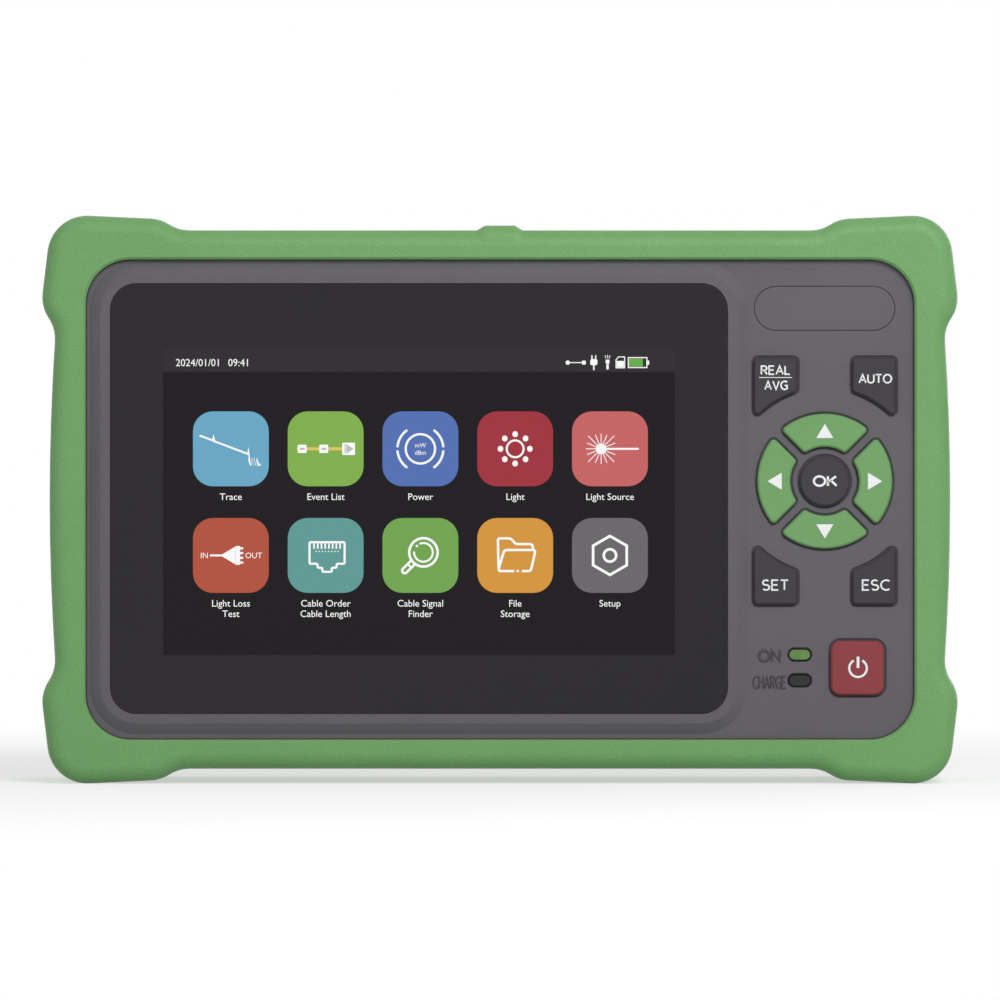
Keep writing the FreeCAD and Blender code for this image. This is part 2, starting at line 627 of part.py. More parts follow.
def bumper_quarter(sketch):
    """Upper right quarter of the bumper, seen from the front, about its middle.

    Straight top edge, S-curve up to the corner pad, the pad's corner, its slanting
    side, S-curve in to the waist, and the long bow of the side.
    """
    half, tall = "bumper_width/2", "bumper_height/2"
    edge = f"{tall} - edge_dip"
    fixed = {
        "edge": (f"{half} - edge_inset", edge),
        "ramp": (f"{half} - pad_start", f"{tall} - pad_slope"),
        "crown": (f"{half} - crown_inset", tall),
        "flare": (half, f"{tall} - flare_drop"),
        "waist": (f"{half} - waist_dip", f"{tall} - waist_drop"),
        "side": (f"{half} - side_dip", "0"),
    }
    spot = {name: V(number(u), number(v), 0) for name, (u, v) in fixed.items()}
    spot["middle"] = V(0, 0, 0)
    spot["top"] = V(0, spot["edge"].y, 0)
    spot["rise"] = (spot["edge"] + spot["ramp"]) * 0.5
    spot["corner"] = V(spot["flare"].x - 1.6, spot["crown"].y - number("pad_corner") * 0.8, 0)
    spot["fall"] = (spot["flare"] + spot["waist"]) * 0.5
    order = ["middle", "top", "edge", "rise", "ramp", "crown", "corner",
             "flare", "fall", "waist", "side"]
    bows = {"edge": 0.3, "rise": -0.3, "crown": -2.2, "flare": -0.5, "fall": 0.5, "waist": -0.3}
    curve = {}
    for name, following in zip(order, order[1:] + order[:1]):
        start, end = spot[name], spot[following]
        if name in bows:
            across = (end - start).cross(V(0, 0, 1)).normalize() * -bows[name]
            curve[name] = Part.Arc(start, (start + end) * 0.5 - across, end)
        else:
            curve[name] = Part.LineSegment(start, end)
        curve[name] = sketch.addGeometry(curve[name], False)
    smooth = order[2:-1]
    for name, following in zip(order, order[1:] + order[:1]):
        kind = "Tangent" if following in smooth else "Coincident"
        ends = (end_at(sketch, curve[name], spot[following]),
                end_at(sketch, curve[following], spot[following]))
        join(sketch, curve[name], curve[following], kind, ends)
    for name, (across, up) in fixed.items():
        if name == "side":
            pin_point(sketch, curve[name], end_at(sketch, curve[name], spot[name]), across)
        else:
            pin_point(sketch, curve[name], end_at(sketch, curve[name], spot[name]), across, up)
    sketch.addConstraint(Sketcher.Constraint("Coincident", curve["middle"], 1, -1, 1))
    sketch.addConstraint(Sketcher.Constraint("Vertical", curve["middle"]))
    sketch.addConstraint(Sketcher.Constraint("Horizontal", curve["top"]))
    sketch.addConstraint(Sketcher.Constraint("Horizontal", curve["side"]))
    sketch.addConstraint(Sketcher.Constraint("PointOnObject", curve["waist"], 3, -1))
    sketch.addConstraint(Sketcher.Constraint("Equal", curve["edge"], curve["rise"]))
    sketch.addConstraint(Sketcher.Constraint("Equal", curve["flare"], curve["fall"]))
    datum(sketch, "Radius", (curve["crown"],), "pad_corner")


def bumper():
    """Moulded rubber jacket with four corner pads, open at the front and the rear."""
    piece = Piece("bumper").place(z=MIDDLE)
    piece.add("y", FRONT, BACK, bumper_quarter, ())
    features = piece.body.Origin.OriginFeatures
    for role in ("YZ_Plane", "XY_Plane"):
        mirror = piece.body.newObject("PartDesign::Mirrored", piece.name("mirror"))
        mirror.TransformMode = "Whole shape"
        mirror.MirrorPlane = (next(f for f in features if f.Role == role), [""])
        piece.body.Tip = mirror
        doc.recompute()
    piece.soften("edge_round", lambda edge: level("y", FRONT)(edge) or level("y", BACK)(edge))
    seat = "2*seat_gap"
    piece.cut("y", FRONT, PANEL, rounded,
              ("0", "0", "window_width", "window_height", "window_radius"))
    piece.cut("y", PANEL, REAR, rounded,
              ("0", "0", f"case_width + {seat}", f"case_height + {seat}", "case_radius + seat_gap"))
    piece.cut("y", REAR, BACK, rounded,
              ("0", "0", "rear_window_width", "rear_window_height", "rear_window_radius"))
    window = within(("0-window_width/2-0.1", f"{FRONT}-0.1", "0-window_height/2-0.1"),
                    ("window_width/2+0.1", f"{FRONT}+0.1", "window_height/2+0.1"))
    piece.bevel("window_bevel", both(level("y", FRONT), window))
    top = f"({EDGE_TOP} - {MIDDLE})"
    seat_top = "(case_half)"
    piece.cut("z", seat_top, f"{top} + 1", rectangle, ("0", "bay_y", "bay_width", "bay_depth"))
    recess_front = "(door_front - door_gap)"
    recess_back = "(door_pin_y + door_swing_room)"
    piece.cut("z", f"{DOOR_UNDER} - {MIDDLE} - 0.1", f"{top} + 1", rectangle,
              ("0", f"({recess_front} + {recess_back})/2", "door_width + 2*door_gap",
               f"{recess_back} - {recess_front}"))
    groove = "(door_barrel + 2*door_gap)"
    piece.cut("z", f"{DOOR_PIN_Z} - {MIDDLE} - {groove}/2", f"{top} + 1", rectangle,
              ("0", "door_pin_y", "door_width + 2*door_gap", groove))
    reach = "(door_width/2 + door_gap + 4)"
    piece.cut("x", f"0 - {reach}", reach, circle,
              ("door_pin_y", f"{DOOR_PIN_Z} - {MIDDLE}", "pin_diameter + 0.02"))
    flap = f"(flap_z - {MIDDLE})"
    piece.cut("x", "case_side", "bumper_width/2", rectangle,
              ("side_bay_y", flap, "side_bay_depth", "side_bay_height"))
    recess_front = "(flap_front - door_gap)"
    recess_back = "(flap_pin_y + door_swing_room)"
    piece.cut("x", f"{FLAP_INSIDE} - 0.1", "bumper_width/2", rectangle,
              (f"({recess_front} + {recess_back})/2", flap,
               f"{recess_back} - {recess_front}", "flap_height + 2*door_gap"))
    piece.cut("x", f"{FLAP_PIN_X} - {groove}/2", "bumper_width/2", rectangle,
              ("flap_pin_y", flap, groove, "flap_height + 2*door_gap"))
    reach = "(flap_height/2 + door_gap + 3)"
    piece.cut("z", f"{flap} - {reach}", f"{flap} + {reach}", circle,
              (FLAP_PIN_X, "flap_pin_y", "pin_diameter + 0.02"))


# ---------------------------------------------------------------------------
# Key outlines, shared by the keys and their openings
# ---------------------------------------------------------------------------
TURNS = {"right": 0, "up": 1, "left": 2, "down": 3}
CORNERS = {"real_avg": (-1, 1), "auto": (1, 1), "set": (-1, -1), "esc": (1, -1)}


def arrow_corner(turn, radius, offset, side):
    """A corner of an arrow key, as expressions across and up."""
    half = f"(arrow_gap/2 - ({offset}))"
    along = f"sqrt(({radius})^2 - {half}^2)"
    out = f"(({along} + {half})/sqrt(2))"
    aside = f"({side}*({along} - {half})/sqrt(2))"
    across, up = [(out, aside), (f"(0-{aside})", out),
                  (f"(0-{out})", f"(0-{aside})"), (aside, f"(0-{out})")][turn]
    return f"pad_x + {across}", f"pad_z + {up}"


def arrow(sketch, turn, offset):
    """One arrow key: a quarter of a ring with a level gap on each side."""
    outer, inner = f"arrow_outer + ({offset})", f"arrow_inner - ({offset})"
    corners = {}
    for name, radius in (("outer", outer), ("inner", inner)):
        for side in (-1, 1):
            corners[name, side] = arrow_corner(turn, radius, offset, side)
    middle = V(number("pad_x"), number("pad_z"), 0)
    rings = {}
    for name, radius in (("outer", outer), ("inner", inner)):
        angles = []
        for side in (-1, 1):
            ray = V(*(number(value) for value in corners[name, side]), 0) - middle
            angles.append(math.degrees(math.atan2(ray.y, ray.x)))
        if angles[1] < angles[0]:
            angles[1] += 360
        rings[name] = arc(sketch, "pad_x", "pad_z", radius, *angles)
        pin_point(sketch, rings[name], 3, "pad_x", "pad_z")
        datum(sketch, "Radius", (rings[name],), radius)
    for side, end in ((1, 2), (-1, 1)):
        edge = line(sketch, corners["outer", side], corners["inner", side])
        join(sketch, rings["outer"], edge, ends=(end, 1))
        join(sketch, edge, rings["inner"], ends=(2, end))
    for name in rings:
        for side, end in ((-1, 1), (1, 2)):
            across, up = corners[name, side]
            if turn % 2:
                pin_point(sketch, rings[name], end, across=across)
            else:
                pin_point(sketch, rings[name], end, up=up)


def arrow_corners(turn, offset):
    """Where the corners of an arrow key are now."""
    spots = []
    for radius in (f"arrow_outer + ({offset})", f"arrow_inner - ({offset})"):
        for side in (-1, 1):
            spots.append([number(value) for value in arrow_corner(turn, radius, offset, side)])
    return spots


def soft_points(sides, offset):
    """The four corners of a soft key, as expressions."""
    x, z = sides
    curve = f"(soft_curve - ({offset}))"
    outer, inner = f"(soft_outer + ({offset}))", f"(soft_inner - ({offset}))"
    top = f"(soft_top + ({offset}))"

    def spot(across, up):
        return f"pad_x + {x}*{across}", f"pad_z + {z}*{up}"
    return [spot(outer, top), spot(inner, top),
            spot(inner, f"sqrt({curve}^2 - {inner}^2)"),
            spot(outer, f"sqrt({curve}^2 - {outer}^2)")]


def soft(sketch, sides, offset):
    """One soft key: straight on three sides, hollowed towards the arrow pad."""
    a, b, c, d = soft_points(sides, offset)
    top, inner, outer = line(sketch, a, b), line(sketch, b, c), line(sketch, d, a)
    middle = V(number("pad_x"), number("pad_z"), 0)
    rays = [V(*(number(value) for value in spot), 0) - middle for spot in (c, d)]
    angles = [math.degrees(math.atan2(ray.y, ray.x)) for ray in rays]
    swapped = angles[0] > angles[1]
    curve = arc(sketch, "pad_x", "pad_z", f"soft_curve - ({offset})", *sorted(angles))
    c_end, d_end = (2, 1) if swapped else (1, 2)
    join(sketch, top, inner)
    join(sketch, outer, top)
    join(sketch, inner, curve, ends=(2, c_end))
    join(sketch, curve, outer, ends=(d_end, 1))
    sketch.addConstraint(Sketcher.Constraint("Horizontal", top))
    sketch.addConstraint(Sketcher.Constraint("Vertical", inner))
    sketch.addConstraint(Sketcher.Constraint("Vertical", outer))
    pin_point(sketch, curve, 3, "pad_x", "pad_z")
    datum(sketch, "Radius", (curve,), f"soft_curve - ({offset})")
    pin_point(sketch, top, 1, *a)
    pin_point(sketch, top, 2, across=b[0])


def power(sketch, offset):
    """The power key."""
    rounded(sketch, "power_x", "power_z", f"power_width + 2*({offset})",
            f"power_height + 2*({offset})", f"power_radius + ({offset})")


def round_key(sketch, offset):
    """The round middle key."""
    circle(sketch, "pad_x", "pad_z", f"2*(ok_radius + ({offset}))")


KEYS = {"key_ok": (round_key,), "key_power": (power,)}
KEYS.update({f"key_{name}": (arrow, turn) for name, turn in TURNS.items()})
KEYS.update({f"key_{name}": (soft, sides) for name, sides in CORNERS.items()})


def key_corners(shape, offset):
    """Where a key has sharp corners to round."""
    draw, *which = shape
    if draw is arrow:
        return arrow_corners(which[0], offset)
    if draw is soft:
        return [[number(v) for v in spot] for spot in soft_points(which[0], offset)]
    return []


def keys():
    """The ten keys, each with a flange that keeps it behind the panel."""
    for label, shape in KEYS.items():
        draw, *which = shape
        piece = Piece(label)
        piece.add("y", KEY_TOP, FLANGE_FRONT, draw, (*which, "0"))
        corners = key_corners(shape, "0")
        if corners:
            piece.soften("key_corner", upright("y", corners))
        piece.bevel("key_edge", level("y", KEY_TOP))
        piece.add("y", FLANGE_FRONT, f"{FLANGE_FRONT} + key_flange_thickness", draw,
                  (*which, "key_flange"))


# ---------------------------------------------------------------------------
# Front shell and screen
# ---------------------------------------------------------------------------
BRACKET_SPOTS = [(f"screen_x + {x}*bracket_reach", f"display_z + {z}*bracket_rise")
                 for x in (-1, 1) for z in (-1, 1)]
KEYPAD_SPOTS = [(f"pad_x + {x}*keypad_screw_x", z)
                for x, z in ((-1, "keypad_bottom + keypad_screw_edge"),
                             (-1, "keypad_top - keypad_screw_edge"),
                             (1, "keypad_top - keypad_screw_edge"))]
CASE_SPOTS = [(f"{x}*case_screw_x", f"{MIDDLE} + {z}*case_screw_rise")
              for x in (-1, 1) for z in (-1, 0, 1)]
LAMPS = [("lamp_x", "on_z"), ("lamp_x", "charge_z")]


def circles(spots, diameter):
    """Circles of one size at many places."""
    return [(x, z, diameter) for x, z in spots]


def front_case():
    """Front shell: panel, bezel, key openings and the bosses behind them."""
    piece = Piece("front_case")
    piece.add("y", PANEL, FRONT_SHELL_END, rounded,
              ("0", MIDDLE, "case_width", "case_height", "case_radius"))
    piece.cut("y", INSIDE, FRONT_SHELL_END, rounded,
              ("0", MIDDLE, "case_width - 2*wall", "case_height - 2*wall", "case_radius - wall"))
    outlines = []
    for at, extra in ((PANEL, "bezel_rim + bezel_slope"), (RIM, "bezel_rim")):
        sketch = piece.sketch("y", at)
        rounded(sketch, "screen_x", "screen_z", f"lens_width + 2*({extra})",
                f"lens_height + 2*({extra})", f"lens_radius + {extra}")
        outlines.append(sketch)
    bezel = piece.body.newObject("PartDesign::AdditiveLoft", piece.name("bezel"))
    bezel.Profile = outlines[0]
    bezel.Sections = [outlines[1]]
    bezel.Ruled = True
    gap = "2*lens_gap"
    piece.cut("y", RIM, LENS_SEAT, rounded,
              ("screen_x", "screen_z", f"lens_width + {gap}", f"lens_height + {gap}",
               "lens_radius + lens_gap"))
    room = "2*(display_edge + display_gap)"
    piece.cut("y", LENS_SEAT, INSIDE, rectangle,
              ("screen_x", "display_z", f"display_width + {room}", f"display_height + {room}"))
    for label, (draw, *which) in KEYS.items():
        piece.cut("y", PANEL, INSIDE, draw, (*which, "key_gap"))
    gap = "2*lamp_gap"
    for x, z in LAMPS:
        piece.cut("y", PANEL, INSIDE, stadium,
                  (x, z, f"lamp_width + {gap}", f"lamp_height + {gap}"))
    corners = [spot for shape in KEYS.values() for spot in key_corners(shape, "key_gap")]
    piece.soften("key_corner + key_gap", upright("y", corners))
    piece.bevel("mouth_bevel", both(level("y", PANEL), mouth_edge))
    piece.cut("y", PANEL, f"{PANEL} + engraving", oval_ring, ())
    piece.add("y", INSIDE, MODULE_REAR, circle, *circles(BRACKET_SPOTS, "boss_diameter"))
    piece.cut("y", INSIDE, MODULE_REAR, circle,
              *circles(BRACKET_SPOTS, "small_shank + 2*screw_gap"))
    piece.add("y", INSIDE, KEYPAD_FACE, circle, *circles(KEYPAD_SPOTS, "boss_diameter"))
    piece.cut("y", INSIDE, KEYPAD_FACE, circle,
              *circles(KEYPAD_SPOTS, "small_shank + 2*screw_gap"))
    start = f"({FRONT_SHELL_END} - front_boss_length)"
    piece.add("y", start, FRONT_SHELL_END, circle, *circles(CASE_SPOTS, "case_boss - 1.2"))
    reach = f"(case_side - wall/2 - case_screw_x)"
    webs = [(f"({x}) + {side}*{reach}/2", z, reach, "case_boss - 2")
            for (x, z), side in zip(CASE_SPOTS, (-1, -1, -1, 1, 1, 1))]
    piece.add("y", start, FRONT_SHELL_END, rectangle, *webs)
    piece.cut("y", start, FRONT_SHELL_END, circle,
              *circles(CASE_SPOTS, "case_shank + 2*screw_gap"))


def mouth_edge(edge):
    """A test for the edges round the keys and lamps: they lie within the keypad."""
    box = edge.BoundBox
    left, right = number("pad_x - soft_outer - 1"), number("pad_x + soft_outer + 1")
    low, high = number("keypad_bottom"), number("keypad_top")
    return left < box.XMin and box.XMax < right and low < box.ZMin and box.ZMax < high


def oval_ring(sketch):
    """The engraved line: an oval inside an oval."""
    stadium(sketch, "pad_x", "oval_z", "oval_width", "oval_height")
    stadium(sketch, "pad_x", "oval_z", "oval_width - 2*engraving",
            "oval_height - 2*engraving")


def screen():
    """Lens, display module, its steel frame and screws."""
    lens = Piece("screen_lens")
    lens.add("y", LENS_FRONT, LENS_SEAT, rounded,
             ("screen_x", "screen_z", "lens_width", "lens_height", "lens_radius"))
    module = Piece("display_module")
    module.add("y", INSIDE, MODULE_REAR, rectangle,
               ("screen_x", "display_z", "module_width", "module_height"))
    module.add("y", f"{LENS_SEAT} + display_gap", INSIDE, rectangle,
               ("screen_x", "display_z", "display_width + 2*display_edge",
                "display_height + 2*display_edge"))
    bracket = Piece("display_frame")
    bracket.add("y", MODULE_REAR, BRACKET_REAR, rounded,
                ("screen_x", "display_z", "2*bracket_reach + boss_diameter",
                 "2*bracket_rise + boss_diameter", "boss_diameter/2"))
    bracket.cut("y", MODULE_REAR, BRACKET_REAR, rounded,
                ("screen_x", "display_z", "module_width - 12", "module_height - 24", "4"))
    bracket.cut("y", MODULE_REAR, BRACKET_REAR, circle,
                *circles(BRACKET_SPOTS, "small_shank + 2*screw_gap"))
    screws("display_screws", BRACKET_SPOTS, BRACKET_REAR, f"{BRACKET_REAR} + small_head_height",
           f"{INSIDE} + 0.5", "small_head", "small_shank")


def screws(label, spots, seat, top, tip, head, shank):
    """Screws along Y: a head from its seat to its top, and a shank to the tip."""
    piece = Piece(label)
    piece.add("y", seat, top, circle, *circles(spots, head))
    piece.add("y", tip, seat, circle, *circles(spots, shank))
    if number(top) < number(seat):
        piece.cut("y", top, f"{top} + 0.6*({seat} - ({top}))", hexagon,
                  *[(x, z, f"{head}*0.45") for x, z in spots])
    else:
        piece.cut("y", top, f"{top} - 0.6*({top} - ({seat}))", hexagon,
                  *[(x, z, f"{head}*0.45") for x, z in spots])


def hexagon(sketch, across, up, width):
    """A regular hexagon, corner to corner along the first axis."""
    points = [(f"{across} + ({width})/2*cos({60 * turn})", f"{up} + ({width})/2*sin({60 * turn})")
              for turn in range(6)]
    polygon(sketch, points)


def keypad():
    """Mat, circuit board, snap domes, lamps and screws behind the keys."""
    middle = "(keypad_bottom + keypad_top)/2"
    height = "keypad_top - keypad_bottom"
    mat = Piece("keypad_mat")
    mat.add("y", MAT_FRONT, KEYPAD_FACE, rounded,
            ("pad_x", middle, "keypad_width - 0.6", f"{height} - 0.6", "2"))
    mat.cut("y", MAT_FRONT, KEYPAD_FACE, circle, *circles(KEYPAD_SPOTS, "boss_diameter + 0.8"))
    mat.cut("y", MAT_FRONT, KEYPAD_FACE, rounded,
            ("lamp_x", "(on_z + charge_z)/2", "lamp_width + 0.4",
             "on_z - charge_z + lamp_height + 0.4", "0.5"))
    domes = [(x, z, "dome_diameter + 0.6") for x, z in DOMES]
    mat.cut("y", f"{KEYPAD_FACE} - dome_height - 0.2", KEYPAD_FACE, circle, *domes)
    board = Piece("keypad_board")
    board.add("y", KEYPAD_FACE, KEYPAD_REAR, rounded,
              ("pad_x", middle, "keypad_width", height, "1.5"))
    board.cut("y", KEYPAD_FACE, KEYPAD_REAR, circle,
              *circles(KEYPAD_SPOTS, "small_shank + 2*screw_gap"))
    dome = Piece("snap_domes")
    dome.add("y", f"{KEYPAD_FACE} - dome_height", KEYPAD_FACE, circle,
             *circles(DOMES, "dome_diameter"))
    screws("keypad_screws", KEYPAD_SPOTS, KEYPAD_REAR, f"{KEYPAD_REAR} + small_head_height",
           f"{INSIDE} + 0.5", "small_head", "small_shank")
    leds = Piece("indicator_leds")
    leds.add("y", f"{KEYPAD_FACE} - 0.8", KEYPAD_FACE, rectangle,
             *[(x, z, "3", "1.6") for x, z in LAMPS])
    for label, (x, z) in zip(("on_indicator", "charge_indicator"), LAMPS):
        lamp = Piece(label)
        lamp.add("y", PANEL, f"{KEYPAD_FACE} - 0.8", stadium, (x, z, "lamp_width", "lamp_height"))


SOFT_MIDDLE = ("(soft_outer + soft_inner)/2", "(soft_top + soft_curve)/2")
DOMES = [("pad_x", "pad_z"), ("power_x", "power_z")]
DOMES += [(f"pad_x + {x}*(arrow_outer + arrow_inner)/2", f"pad_z + {z}*(arrow_outer + arrow_inner)/2")
          for x, z in ((1, 0), (0, 1), (-1, 0), (0, -1))]
DOMES += [(f"pad_x + {x}*{SOFT_MIDDLE[0]}", f"pad_z + {z}*({SOFT_MIDDLE[1]})")
          for x, z in CORNERS.values()]


# ---------------------------------------------------------------------------
# Rear shell
# ---------------------------------------------------------------------------
PORTS = {"trace": "trace_port_x", "meter": "meter_port_x", "light": "light_port_x"}
COLUMNS = [(f"{x}*column_x", z) for x in (-1, 1) for z in ("column_low", "column_high")]


def rear_case():
    """Rear shell: connector bay, battery bay, sockets' wall, lugs and grille."""
    piece = Piece("rear_case")
    piece.add("y", REAR_SHELL_START, REAR, rounded,
              ("0", MIDDLE, "case_width", "case_height", "case_radius"))
    piece.cut("y", REAR_SHELL_START, REAR_INSIDE, rounded,
              ("0", MIDDLE, "case_width - 2*wall", "case_height - 2*wall", "case_radius - wall"))
    piece.add("z", BAY_UNDER, "case_top", rectangle,
              ("0", "bay_y", "bay_width + 2*bay_wall", "bay_depth + 2*bay_wall"))
    piece.cut("z", BAY_FLOOR, "case_top", rectangle, ("0", "bay_y", "bay_width", "bay_depth"))
    tails = [(x, "bay_y", "port_tail + 0.2") for x in PORTS.values()]
    piece.cut("z", BAY_UNDER, BAY_FLOOR, circle, *tails)
    piece.cut("z", BAY_UNDER, BAY_FLOOR, rectangle,
              ("data_port_x", f"{JACK_Y}", "jack_width + 0.2", "jack_depth + 0.2"))
    outer = "2*battery_wall"
    piece.add("y", "main_y", REAR_INSIDE, rectangle,
              ("0", "battery_z", f"battery_width + {outer}", f"battery_height + {outer}"))
    piece.cut("y", "main_y + battery_wall", REAR, rectangle,
              ("0", "battery_z", "battery_width", "battery_height"))
    gap = "2*cover_gap"
    piece.cut("y", f"{REAR} - cover_thickness", REAR, rounded,
              ("0", "battery_z", f"cover_width + {gap}", f"cover_height + {gap}", "cover_radius"))
    cover_spots = [(f"{x}*cover_screw_x", "battery_z") for x in (-1, 1)]
    piece.add("y", f"{REAR_INSIDE} - 5", REAR_INSIDE, circle, *circles(cover_spots, "5"))
    piece.cut("y", f"{REAR_INSIDE} - 5", REAR, circle,
              *circles(cover_spots, "small_shank + 2*screw_gap"))
    piece.add("y", REAR_SHELL_START, REAR_INSIDE, circle, *circles(CASE_SPOTS, "case_boss"))
    piece.cut("y", REAR_SHELL_START, REAR, circle,
              *circles(CASE_SPOTS, "case_shank + 2*screw_gap"))
    seat = f"({REAR} - case_head_drop - case_head_height)"
    piece.cut("y", seat, REAR, circle, *circles(CASE_SPOTS, "case_head + 6*screw_gap"))
    piece.add("y", "main_y", REAR_INSIDE, circle, *circles(COLUMNS, "boss_diameter + 1"))
    piece.cut("y", "main_y", "main_y + 8", circle, *circles(COLUMNS, "small_shank + 2*screw_gap"))
    slots = [("0", f"speaker_z + {step}*grille_pitch", "grille_width", "grille_slot")
             for step in range(-2, 3)]
    piece.cut("y", REAR_INSIDE, REAR, stadium, *slots)
    for side in (-1, 1):
        for reach in (-1, 1):
            middle = f"({side}*{STAND_ARM_X} + {reach}*(stand_bar/2 + stand_gap + lug_width/2))"
            piece.add("x", f"{middle} - lug_width/2", f"{middle} + lug_width/2", lug_side, ())
    piece.cut("x", f"0 - {STAND_ARM_X} - stand_bar", f"{STAND_ARM_X} + stand_bar", circle,
              (STAND_PIN_Y, "stand_pin_z", "pin_diameter + 0.02"))
    inside = f"(case_side - wall)"
    piece.cut("x", inside, "case_side", rectangle,
              ("bay_y", "supply_z", "supply_size + 2*socket_gap", "supply_size + 2*socket_gap"),
              ("bay_y", "bus_z", "bus_thickness + 2*socket_gap", "bus_width + 2*socket_gap"))


def lug_side(sketch):
    """Side view of a kickstand lug: straight foot on the rear wall, round over the pin."""
    low, high = "stand_pin_z - stand_barrel/2 - 0.4", "stand_pin_z + stand_barrel/2 + 0.4"
    outer = f"({STAND_PIN_Y} + stand_barrel/2)"
    polygon(sketch, [(f"{REAR} - 0.5", f"{low} - 1.2"), (outer, low), (outer, high),
                     (f"{REAR} - 0.5", f"{high} + 1.2")])


JACK_Y = "(main_y + jack_depth/2)"


def gasket():
    """Flat gasket between the two shells."""
    piece = Piece("case_gasket")
    piece.add("y", FRONT_SHELL_END, REAR_SHELL_START, rounded,
              ("0", MIDDLE, "case_width - 0.2", "case_height - 0.2", "case_radius - 0.1"))
    piece.cut("y", FRONT_SHELL_END, REAR_SHELL_START, rounded,
              ("0", MIDDLE, "case_width - 2*wall + 0.2", "case_height - 2*wall + 0.2",
               "case_radius - wall + 0.1"))


def rear_fittings():
    """Battery, its cover and contacts, speaker, case screws."""
    battery = Piece("battery_pack")
    front = "main_y + battery_wall + 0.6"
    battery.add("y", front, f"{REAR} - cover_thickness", rounded,
                ("0", "battery_z", "battery_width - 2*battery_gap",
                 "battery_height - 2*battery_gap", "3"))
    contacts = Piece("battery_contacts")
    contacts.add("y", "main_y + battery_wall", front, rectangle,
                 *[(f"battery_width/2 - 12 - {step}*5", "battery_z", "2.4", "7")
                   for step in range(4)])
    cover = Piece("battery_cover")
    cover.add("y", f"{REAR} - cover_thickness", REAR, rounded,
              ("0", "battery_z", "cover_width", "cover_height", "cover_radius - cover_gap"))
    spots = [(f"{x}*cover_screw_x", "battery_z") for x in (-1, 1)]
    cover.cut("y", f"{REAR} - cover_thickness", REAR, circle,
              *circles(spots, "small_shank + 2*screw_gap"))
    screws("cover_screws", spots, REAR, f"{REAR} + small_head_height*0.6",
           f"{REAR_INSIDE} - 3", "small_head", "small_shank")
    seat = f"({REAR} - case_head_drop - case_head_height)"
    screws("case_screws", CASE_SPOTS, seat, f"{seat} + case_head_height",
           f"{FRONT_SHELL_END} - case_screw_grip", "case_head", "case_shank")
    speaker = Piece("speaker")
    speaker.add("y", f"{REAR_INSIDE} - speaker_thickness", REAR_INSIDE, circle,
                ("0", "speaker_z", "speaker_diameter"))
    speaker.cut("y", f"{REAR_INSIDE} - 1", REAR_INSIDE, circle,
                ("0", "speaker_z", "speaker_diameter - 3"))


def main_board():
    """Main board with a few components, its screws, and the optics behind it."""
    middle = "(main_bottom + main_top)/2"
    board = Piece("main_board")
    board.add("y", MAIN_FRONT, "main_y", rounded,
              ("0", middle, "main_width", "main_top - main_bottom", "2"))
    board.add("y", f"{MAIN_FRONT} - 1.6", MAIN_FRONT, rectangle,
              ("-20", f"{middle} - 5", "18", "18"), ("12", f"{middle} - 3", "12", "14"),
              ("38", f"{middle} - 11", "9", "9"), ("-48", f"{middle} - 15", "12", "8"))
    board.cut("y", f"{MAIN_FRONT}", "main_y", circle,
              *circles(COLUMNS, "small_shank + 2*screw_gap"))
    screws("board_screws", COLUMNS, MAIN_FRONT, f"{MAIN_FRONT} - small_head_height",
           "main_y + 6", "small_head", "small_shank")
    optics = Piece("optical_module")
    optics.add("y", "main_y", "main_y + optics_depth", rectangle,
               ("(trace_port_x + meter_port_x)/2", f"{TAIL_END} - optics_height/2",
                "optics_width", "optics_height"))
    laser = Piece("light_source")
    laser.add("z", f"{TAIL_END} - laser_length", TAIL_END, circle,
              ("light_port_x", "bay_y", "laser_diameter"))
    laser.add("z", f"{TAIL_END} - laser_length", f"{TAIL_END} - laser_length + 8", rectangle,
              ("light_port_x", "(main_y + bay_y)/2", "laser_diameter - 2", "bay_y - main_y"))


# ---------------------------------------------------------------------------
# Ports, each built about its own axis with its flange on the bay floor
# ---------------------------------------------------------------------------
def port(label, x, flange, barrel, height, bore):
    """A round port: flange, barrel, tail through the floor, bore along the axis."""
    piece = Piece(label).place(x, "bay_y", BAY_FLOOR)
    if flange:
        piece.add("z", "0", "port_flange_thickness", rounded, ("0", "0", flange, flange, "1.5"))
    else:
        piece.add("z", "0", "port_flange_thickness", circle, ("0", "0", f"{barrel} + 3"))
    piece.add("z", "port_flange_thickness", height, circle, ("0", "0", barrel))
    piece.add("z", "0 - bay_wall - port_tail_length", "0", circle, ("0", "0", "port_tail"))
    piece.cut("z", "0 - bay_wall - port_tail_length + 1.5", height, circle, ("0", "0", bore))
    return piece


